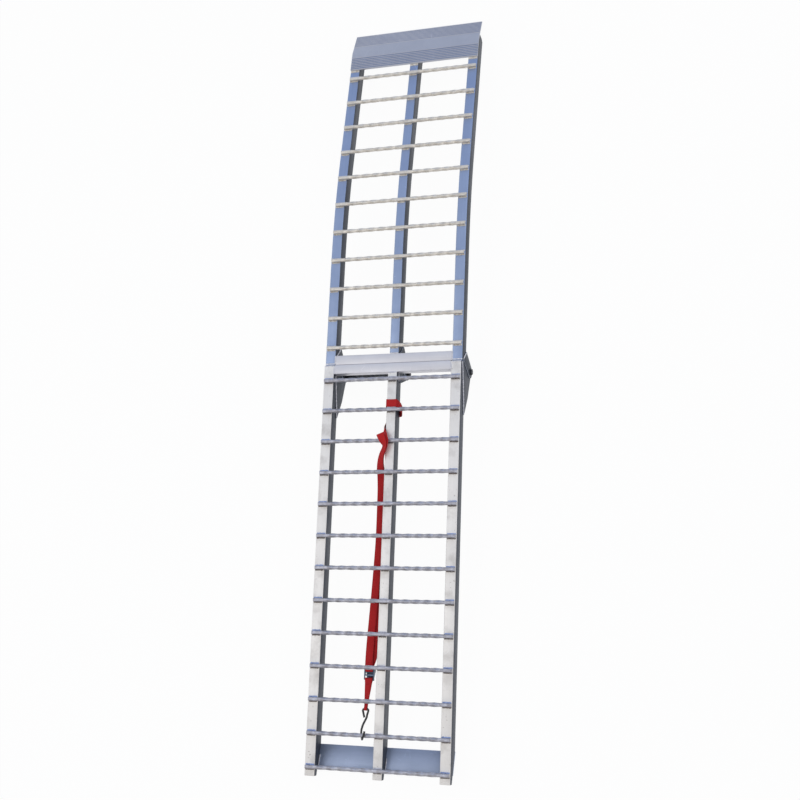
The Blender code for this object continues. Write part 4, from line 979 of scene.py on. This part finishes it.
def finish_mesh(mesh, material, sharp_angle, merge=0.0):
    """Merges doubles, turns the faces outwards, smooths the mesh up to an angle and sets its material."""
    shape = bmesh.new()
    shape.from_mesh(mesh)
    if merge:
        bmesh.ops.remove_doubles(shape, verts=shape.verts, dist=merge)
    bmesh.ops.recalc_face_normals(shape, faces=shape.faces)
    shape.to_mesh(mesh)
    shape.free()
    mesh.shade_smooth()
    mesh.set_sharp_from_angle(angle=math.radians(sharp_angle))
    mesh.materials.clear()
    mesh.materials.append(material)


WEBBING_WIDTH = 0.025
WEBBING_THICKNESS = 0.0012

# Points of half of the webbing's outline: its share of the half width, its inset from there in metres,
# and its share of the half thickness
WEBBING_OUTLINE = (
    (-1.0, 0.0, 0.0), (-1.0, 0.00022, 0.75), (-1.0, 0.0007, 1.0), (-0.6, 0.0, 1.0), (-0.2, 0.0, 1.0),
    (0.2, 0.0, 1.0), (0.6, 0.0, 1.0), (1.0, -0.0007, 1.0), (1.0, -0.00022, 0.75), (1.0, 0.0, 0.0),
)


def webbing_mesh(name, stations, closed=False, width_at=None):
    """A ribbon with rounded selvedges.

    Each station holds its centre, its width's direction and its normal. The width may change with the
    share of the stations that lie before it.
    """
    half_thickness = WEBBING_THICKNESS / 2
    profile = list(WEBBING_OUTLINE)
    profile += [(side, inset, -up) for side, inset, up in reversed(profile[1:-1])]
    points, faces, runs = [], [], []
    travelled = 0.0
    around = len(profile)
    count = len(stations)
    for index, (centre, width_way, normal) in enumerate(stations):
        if index:
            travelled += (centre - stations[index - 1][0]).length
        half_width = (width_at(index / (count - 1)) if width_at else WEBBING_WIDTH) / 2
        for side, inset, up in profile:
            across = side * half_width + inset
            points.append(centre + width_way * across + normal * (up * half_thickness))
            runs.append((travelled, across))
    total = travelled + (stations[0][0] - stations[-1][0]).length
    spans = count if closed else count - 1
    corner_runs = []
    for span in range(spans):
        for step in range(around):
            here, there = span * around, ((span + 1) % count) * around
            after = (step + 1) % around
            faces.append((here + step, here + after, there + after, there + step))
            first, second = runs[here + step], runs[here + after]
            third, fourth = runs[there + after], runs[there + step]
            if there < here:
                third, fourth = (total, third[1]), (total, fourth[1])
            corner_runs += [first, second, third, fourth]
    if not closed:
        faces.append(tuple(reversed(range(around))))
        corner_runs += [runs[step] for step in reversed(range(around))]
        last = (count - 1) * around
        faces.append(tuple(last + step for step in range(around)))
        corner_runs += [runs[last + step] for step in range(around)]
    mesh = bpy.data.meshes.new(name)
    mesh.from_pydata([tuple(point) for point in points], [], faces)
    layer = mesh.uv_layers.new(name="run")
    for data, run in zip(layer.data, corner_runs):
        data.uv = run
    finish_mesh(mesh, WEBBING, 50)
    return mesh


def rung_along(number):
    """A lower rung's distance from the seam; the first is the one beside it."""
    return LOWER_FIRST_RUNG + (number - 1) * RUNG_PITCH


# The strap beside the centre stringer, the buckle on it and the loop round the stringer
CENTRE_LEFT_FACE = LOWER_SHIFT + CENTRE_PLACE - CENTRE_WIDTH / 2
STRAP_ASIDE = 0.0035
BUCKLE_FROM_STRINGER = 0.0335
BUCKLE_AFTER_RUNG = 0.005
BUCKLE_CENTRE = CENTRE_LEFT_FACE - BUCKLE_FROM_STRINGER
BUCKLE_START = rung_along(10) + BUCKLE_AFTER_RUNG
BUCKLE_DEPTH = 0.030
BUCKLE_PLATE = 0.002
BUCKLE_TOP_BAR = 0.006
BUCKLE_TOP_WINDOW = 0.010
BUCKLE_CROSS_BAR = 0.004
BUCKLE_LOW_WINDOW = 0.007
BUCKLE_LOW_BAR = 0.005
LOOP_PLACE = 0.0205
LOOP_SHEAR = 0.5

# The wire hook, and the webbing sewn between it and the buckle
HOOK_WIRE = 0.0065
HOOK_EYE_WIDTH = 0.0175
HOOK_EYE_LENGTH = 0.028
HOOK_EYE_CORNER = 0.0046
HOOK_LEAN = -0.0095
HOOK_BEND_WIDTH = 0.0155
HOOK_TIP_ASIDE = 0.0185
HOOK_REACH = 0.0655
HOOK_DROP = 0.0065
SEWN_APEX = 0.0115
SEWN_TAPER = 0.62
PLY_GAP = 0.00005
STITCH_ROWS = (0.013, 0.016)
STITCH_PITCH = 0.0024
STITCH_MARGIN = 0.0022


def strap_stations():
    """The strap's run from the loop to the buckle and its tail back, as ribbon stations."""
    wall = CENTRE_LEFT_FACE - CLEARANCE - WEBBING_THICKNESS / 2
    face = CENTRE_LEFT_FACE - STRAP_ASIDE
    second, third, fourth, tenth = (rung_along(number) for number in (2, 3, 4, 10))
    buckle = BUCKLE_CENTRE
    out = [
        (second - 0.003, wall, 0.0300, 90),
        (second + 0.020, wall, 0.0290, 90),
        (second + 0.044, wall - 0.0030, 0.0225, 86),
        (second + 0.062, face - 0.0052, 0.0120, 77),
        (third - 0.026, face - 0.0030, -0.0010, 55),
        (third - 0.013, face + 0.0035, -0.0165, 25),
        (third, face + 0.0080, -0.0187, 14),
        (third + 0.012, face + 0.0085, -0.0155, 32),
        (third + 0.024, face + 0.0060, -0.0095, 48),
        (third + 0.045, face - 0.0050, 0.0, 44),
        (third + 0.065, face - 0.0115, 0.0100, 28),
        (fourth - 0.013, face - 0.0137, 0.0185, 10),
        (fourth + 0.010, face - 0.0137, 0.0270, 3),
        (fourth + 0.050, face - 0.0137, 0.0330, 0),
        (fourth + 0.150, face - 0.0137, 0.0355, 0),
        (fourth + 0.300, face - 0.0137, 0.0360, 0),
        (tenth - 0.120, face - 0.0137, 0.0360, 0),
        (tenth - 0.060, face - 0.0140, 0.0358, 0),
        (tenth - 0.025, buckle + 0.0080, 0.0350, 0),
    ]
    turn_centre = BUCKLE_DEPTH + BUCKLE_PLATE / 2
    turn_radius = BUCKLE_PLATE / 2 + CLEARANCE + WEBBING_THICKNESS / 2
    bar_end = BUCKLE_START + BUCKLE_TOP_BAR - turn_radius * 0.2
    out.append((BUCKLE_START - 0.006, buckle, turn_centre + turn_radius, 0))
    turns = [math.pi * step / 12 for step in range(13)]
    bend = [
        (bar_end + turn_radius * math.sin(angle), buckle, turn_centre + turn_radius * math.cos(angle), 0)
        for angle in turns
    ]
    back = [
        (BUCKLE_START - 0.001, buckle, turn_centre - turn_radius, 0),
        (tenth - 0.008, buckle - 0.0012, 0.0290, 0),
        (tenth - 0.050, buckle - 0.0010, 0.0312, 0),
        (tenth - 0.097, buckle + 0.0010, 0.0325, 0),
        (tenth - 0.210, buckle + 0.0075, 0.0328, 0),
        (fourth + 0.290, buckle + 0.0125, 0.0328, 0),
        (fourth + 0.200, face - 0.0142, 0.0326, 0),
        (fourth + 0.100, face - 0.0139, 0.0318, 0),
        (fourth + 0.050, face - 0.0137, 0.0297, 0),
        (fourth + 0.010, face - 0.0142, 0.0240, 3),
        (fourth - 0.013, face - 0.0147, 0.0157, 10),
        (third + 0.065, face - 0.0130, 0.0077, 28),
        (third + 0.045, face - 0.0070, -0.0022, 44),
        (third + 0.024, face + 0.0039, -0.0116, 48),
        (third + 0.012, face + 0.0043, -0.0182, 28),
        (third, face + 0.0008, -0.0227, 10),
        (third - 0.013, face - 0.0047, -0.0242, 2),
        (third - 0.0195, face - 0.0074, -0.0243, 0),
    ]
    path = smooth_path(out, 6) + bend + smooth_path(back, 6)
    places = [lower_place(across, along, depth) for along, across, depth, roll in path]
    rolls = [math.radians(roll) for along, across, depth, roll in path]
    kept = [0]
    for index in range(1, len(places)):
        if (places[index] - places[kept[-1]]).length > 0.0002:
            kept.append(index)
    stations = []
    for order, index in enumerate(kept):
        before = places[kept[max(order - 1, 0)]]
        after = places[kept[min(order + 1, len(kept) - 1)]]
        tangent = (after - before).normalized()
        level = Vector((1.0, 0.0, 0.0))
        level = (level - tangent * level.dot(tangent)).normalized()
        lift = level.cross(tangent)
        if lift.z <= 0:
            lift = -lift
        width_way = level * math.cos(rolls[index]) + lift * math.sin(rolls[index])
        normal = width_way.cross(tangent).normalized()
        stations.append((places[index], width_way, normal))
    return stations


def add_strap():
    """The strap's long run, threaded through the buckle, with its tail."""
    strap = linked("strap_webbing_woven", webbing_mesh("strap_webbing_woven", strap_stations()))
    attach(strap, "lower_section")
    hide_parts("strap_webbing")


def loop_ring():
    """The loop's ring round the centre stringer: across, and height over the deck."""
    half = CENTRE_WIDTH / 2
    gap = CLEARANCE + WEBBING_THICKNESS / 2
    corner = gap * 1.3
    deep = STRINGER_DEPTH
    return [
        (-half * 0.65, gap), (half * 0.65, gap), (half + corner, corner),
        (half + 0.0065, -deep * 0.13), (half + 0.0103, -deep * 0.36),
        (half + 0.0113, -deep * 0.65), (half + 0.0088, -deep * 0.93),
        (half + 0.0030, -deep - 2 * gap), (half * 0.40, -deep - 2 * gap),
        (-half * 0.45, -deep - 2 * gap), (-half - corner, -deep - corner),
        (-half - 0.0032, -deep * 0.82), (-half - 0.0036, -deep * 0.55), (-half - 0.0032, -deep * 0.24),
        (-half - corner, corner),
    ]


def add_strap_loop():
    """The loop round the centre stringer, leant along it where it goes down."""
    path = smooth_path(loop_ring(), 6, closed=True)
    way = (lower_place(0.0, 1.0, 0.0) - lower_place(0.0, 0.0, 0.0)).normalized()
    centre = rung_along(2) - LOOP_PLACE
    middle = CENTRE_PLACE + LOWER_SHIFT
    places = [
        lower_place(middle + across, centre - height * LOOP_SHEAR, -height) for across, height in path
    ]
    flat = [lower_place(middle + across, centre, -height) for across, height in path]
    stations = []
    for index, place in enumerate(places):
        tangent = (flat[(index + 1) % len(flat)] - flat[index - 1]).normalized()
        stations.append((place, way, way.cross(tangent).normalized()))
    loop = linked("strap_loop_woven", webbing_mesh("strap_loop_woven", stations, closed=True))
    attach(loop, "lower_section")
    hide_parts("strap_loop")


def hook_places():
    """The hook's bend: the twelfth rung's distance, its centre's depth and the wire's bend radius."""
    radius = RUNG_SIZE / math.sqrt(2) + CLEARANCE + HOOK_WIRE / 2
    return rung_along(12), -(CLEARANCE + RUNG_SIZE / 2), radius


def eye_line(radius, apex, height, steps=16):
    """The part of a sewn eye's centre line that goes round its bar."""
    reach = math.hypot(apex, height)
    touch = math.atan2(height, apex) + math.acos(radius / reach)
    turns = [touch + (2 * math.pi - 2 * touch) * step / steps for step in range(steps + 1)]
    return [(radius * math.cos(angle), radius * math.sin(angle)) for angle in turns]


def add_stitches(bar, way, over, span):
    """Two rows of stitches by each end of the sewn webbing, on both faces."""
    level = Vector((1.0, 0.0, 0.0))
    lines = []
    for along in (*STITCH_ROWS, *(span - row for row in STITCH_ROWS)):
        half_width = WEBBING_WIDTH * (1.0 - SEWN_TAPER * along / span) / 2 - STITCH_MARGIN
        for side in (-1, 1):
            middle = bar + way * along + over * (side * (WEBBING_THICKNESS + PLY_GAP))
            lines.append(line_between(middle - level * half_width, middle + level * half_width))
    stitches = grown(
        "hook_webbing_stitches", guide_lines(lines), BEADS, "lower_section", Pitch=STITCH_PITCH,
        Half_Length=0.0010, Half_Width=0.00032, Half_Height=0.00026, Unevenness=0.06, Seed=31,
        Material=THREAD)


def add_short_webbing():
    """The doubled webbing between the buckle and the hook, sewn at both ends, with its stitches."""
    bar_along = (BUCKLE_START + BUCKLE_TOP_BAR + BUCKLE_TOP_WINDOW + BUCKLE_CROSS_BAR + BUCKLE_LOW_WINDOW
                 + BUCKLE_LOW_BAR / 2)
    rung, depth, radius = hook_places()
    bar = lower_place(BUCKLE_CENTRE, bar_along, BUCKLE_DEPTH + BUCKLE_PLATE / 2)
    wire = lower_place(BUCKLE_CENTRE, rung - radius - HOOK_REACH, depth + radius + HOOK_DROP)
    run = wire - bar
    span = run.length
    way = run.normalized()
    level = Vector((1.0, 0.0, 0.0))
    over = level.cross(way).normalized()
    if over.z < 0:
        over = -over
    half_ply = WEBBING_THICKNESS / 2 + PLY_GAP
    near_radius = math.hypot(BUCKLE_LOW_BAR, BUCKLE_PLATE) / 2 + CLEARANCE + half_ply
    far_radius = HOOK_WIRE / 2 + CLEARANCE + half_ply
    near = eye_line(near_radius, SEWN_APEX, half_ply)
    far = [(span - x, -y) for x, y in eye_line(far_radius, SEWN_APEX, half_ply)]
    top = [(SEWN_APEX + (span - 2 * SEWN_APEX) * step / 10, half_ply) for step in range(11)]
    path = near + [(x, -y) for x, y in top] + far + list(reversed(top))
    stations = []
    places = [bar + way * x + over * y for x, y in path]
    for index, place in enumerate(places):
        tangent = (places[(index + 1) % len(places)] - places[index - 1]).normalized()
        stations.append((place, level, level.cross(tangent).normalized()))
    last = len(stations) - 1

    def width_at(share):
        along = min(max(path[round(share * last)][0] / span, 0.0), 1.0)
        return WEBBING_WIDTH * (1.0 - SEWN_TAPER * along)

    mesh = webbing_mesh("hook_webbing_woven", stations, closed=True, width_at=width_at)
    piece = linked("hook_webbing_woven", mesh)
    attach(piece, "lower_section")
    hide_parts("hook_webbing")
    add_stitches(bar, way, over, span)


def hook_route():
    """The wire's centre line, across, along and under the deck: its eye, shank, bend and tip."""
    rung, centre_depth, radius = hook_places()
    centre = BUCKLE_CENTRE
    top_along, top_depth = rung - radius - HOOK_REACH, centre_depth + radius + HOOK_DROP
    side = HOOK_EYE_WIDTH / 2 - HOOK_EYE_CORNER
    beside = (HOOK_WIRE + CLEARANCE) / 2
    low = top_along + HOOK_EYE_LENGTH
    corner_along = top_along + HOOK_EYE_CORNER

    def corner(start, end, steps, across):
        turns = [math.radians(start + (end - start) * step / steps) for step in range(steps + 1)]
        return [
            (
                across + HOOK_EYE_CORNER * math.cos(turn),
                corner_along + HOOK_EYE_CORNER * math.sin(turn),
                top_depth,
            )
            for turn in turns
        ]

    eye = [(centre - beside, low - 0.0030, top_depth)]
    eye += corner(155, 270, 9, centre - side) + corner(270, 385, 9, centre + side)
    shank = [
        (centre + HOOK_EYE_WIDTH * 0.30, top_along + HOOK_EYE_LENGTH * 0.62, top_depth),
        (centre + beside, low - 0.0020, top_depth - 0.0002),
        (centre + HOOK_LEAN * 0.6, rung - 0.030, top_depth - 0.0035),
        (centre + HOOK_LEAN, rung - 0.014, centre_depth + radius + 0.0006),
    ]
    steps = 14
    bend = [
        (
            centre + HOOK_LEAN + HOOK_BEND_WIDTH * step / steps,
            rung + radius * math.sin(math.pi * step / steps),
            centre_depth + radius * math.cos(math.pi * step / steps),
        )
        for step in range(steps + 1)
    ]
    tip = [(centre + HOOK_LEAN + HOOK_TIP_ASIDE, rung - 0.013, centre_depth - radius - 0.0004)]
    return eye + smooth_path(shank, 6)[:-1] + bend + tip


def add_hook():
    """The wire hook: a round wire with an eye in the sewn webbing and a bend round the twelfth rung."""
    path = hook_route()
    curve = bpy.data.curves.new("hook_wire", "CURVE")
    curve.dimensions = "3D"
    curve.bevel_depth = HOOK_WIRE / 2
    curve.bevel_resolution = 4
    curve.use_fill_caps = True
    spline = curve.splines.new("POLY")
    spline.points.add(len(path) - 1)
    for point, place in zip(spline.points, path):
        point.co = (*lower_place(*place), 1.0)
    mesh = plain_mesh(linked("hook_wire_guide", curve))
    finish_mesh(mesh, WIRE, 60, merge=1e-6)
    hook = linked("s_hook_wire", mesh)
    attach(hook, "lower_section")
    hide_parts("s_hook")


FLOOR_REACH = 9.0
SEEN_WHITE = 0.95


def add_floor():
    """The white floor: matte where it lights the ramp, and mostly an even white where it is seen."""
    mesh = bpy.data.meshes.new("floor")
    corners = [(x * FLOOR_REACH, y * FLOOR_REACH, 0) for x, y in ((-1, -1), (1, -1), (1, 1), (-1, 1))]
    mesh.from_pydata(corners, [], [(0, 1, 2, 3)])
    floor = linked("floor", mesh)
    material = bpy.data.materials.new("floor_white")
    material.use_nodes = True
    tree = material.node_tree
    tree.nodes.clear()
    matte = add_node(tree, "ShaderNodeBsdfDiffuse", {"Color": (0.92, 0.92, 0.92, 1)})
    white = add_node(tree, "ShaderNodeEmission", {"Strength": 1.0})
    path = tree.nodes.new("ShaderNodeLightPath").outputs
    seen = math_of(tree, "MAXIMUM", path["Is Camera Ray"], path["Is Glossy Ray"])
    mixed = add_node(tree, "ShaderNodeMixShader", {
        0: times(tree, seen, SEEN_WHITE), 1: matte.outputs[0], 2: white.outputs[0]})
    add_node(tree, "ShaderNodeOutputMaterial", {"Surface": mixed.outputs[0]})
    mesh.materials.append(material)


def add_light():
    """Light from all round, dim and warm from the foot's side and blue from the lip's; two softboxes."""
    world = bpy.data.worlds.new("studio")
    bpy.context.scene.world = world
    world.use_nodes = True
    tree = world.node_tree
    way = tree.nodes.new("ShaderNodeTexCoord").outputs["Generated"]
    split = add_node(tree, "ShaderNodeSeparateXYZ", {0: way})
    ramp = add_node(tree, "ShaderNodeValToRGB", {0: ranged(tree, split.outputs["Y"], -1.0, 1.0)})
    stops = ramp.color_ramp.elements
    stops[0].color = (0.46, 0.43, 0.40, 1)
    stops[1].color = (0.55, 0.66, 0.88, 1)
    stops[1].position = 0.9
    stops.new(0.55).color = (1.0, 1.0, 1.0, 1)
    feed_all(tree, tree.nodes["Background"], {"Color": ramp.outputs[0], "Strength": 0.84})
    for name, place, size, power in (
            ("key_softbox", (-1.6, -1.2, 3.2), 2.4, 15.0),
            ("fill_softbox", (2.2, 1.6, 3.0), 2.4, 9.0)):
        light = bpy.data.lights.new(name, "AREA")
        light.size = size
        light.energy = power
        lamp = linked(name, light)
        lamp.location = place
        lamp.rotation_euler = (-Vector(place)).to_track_quat("-Z", "Y").to_euler()


dress_frame()
add_rungs()
add_rung_welds()
add_beam_welds()
add_lower_plate_welds()
add_upper_plate_welds()
add_lip_welds()
add_foot_welds()
add_cap_welds()
add_strap()
add_strap_loop()
add_short_webbing()
add_hook()
add_floor()
add_light()
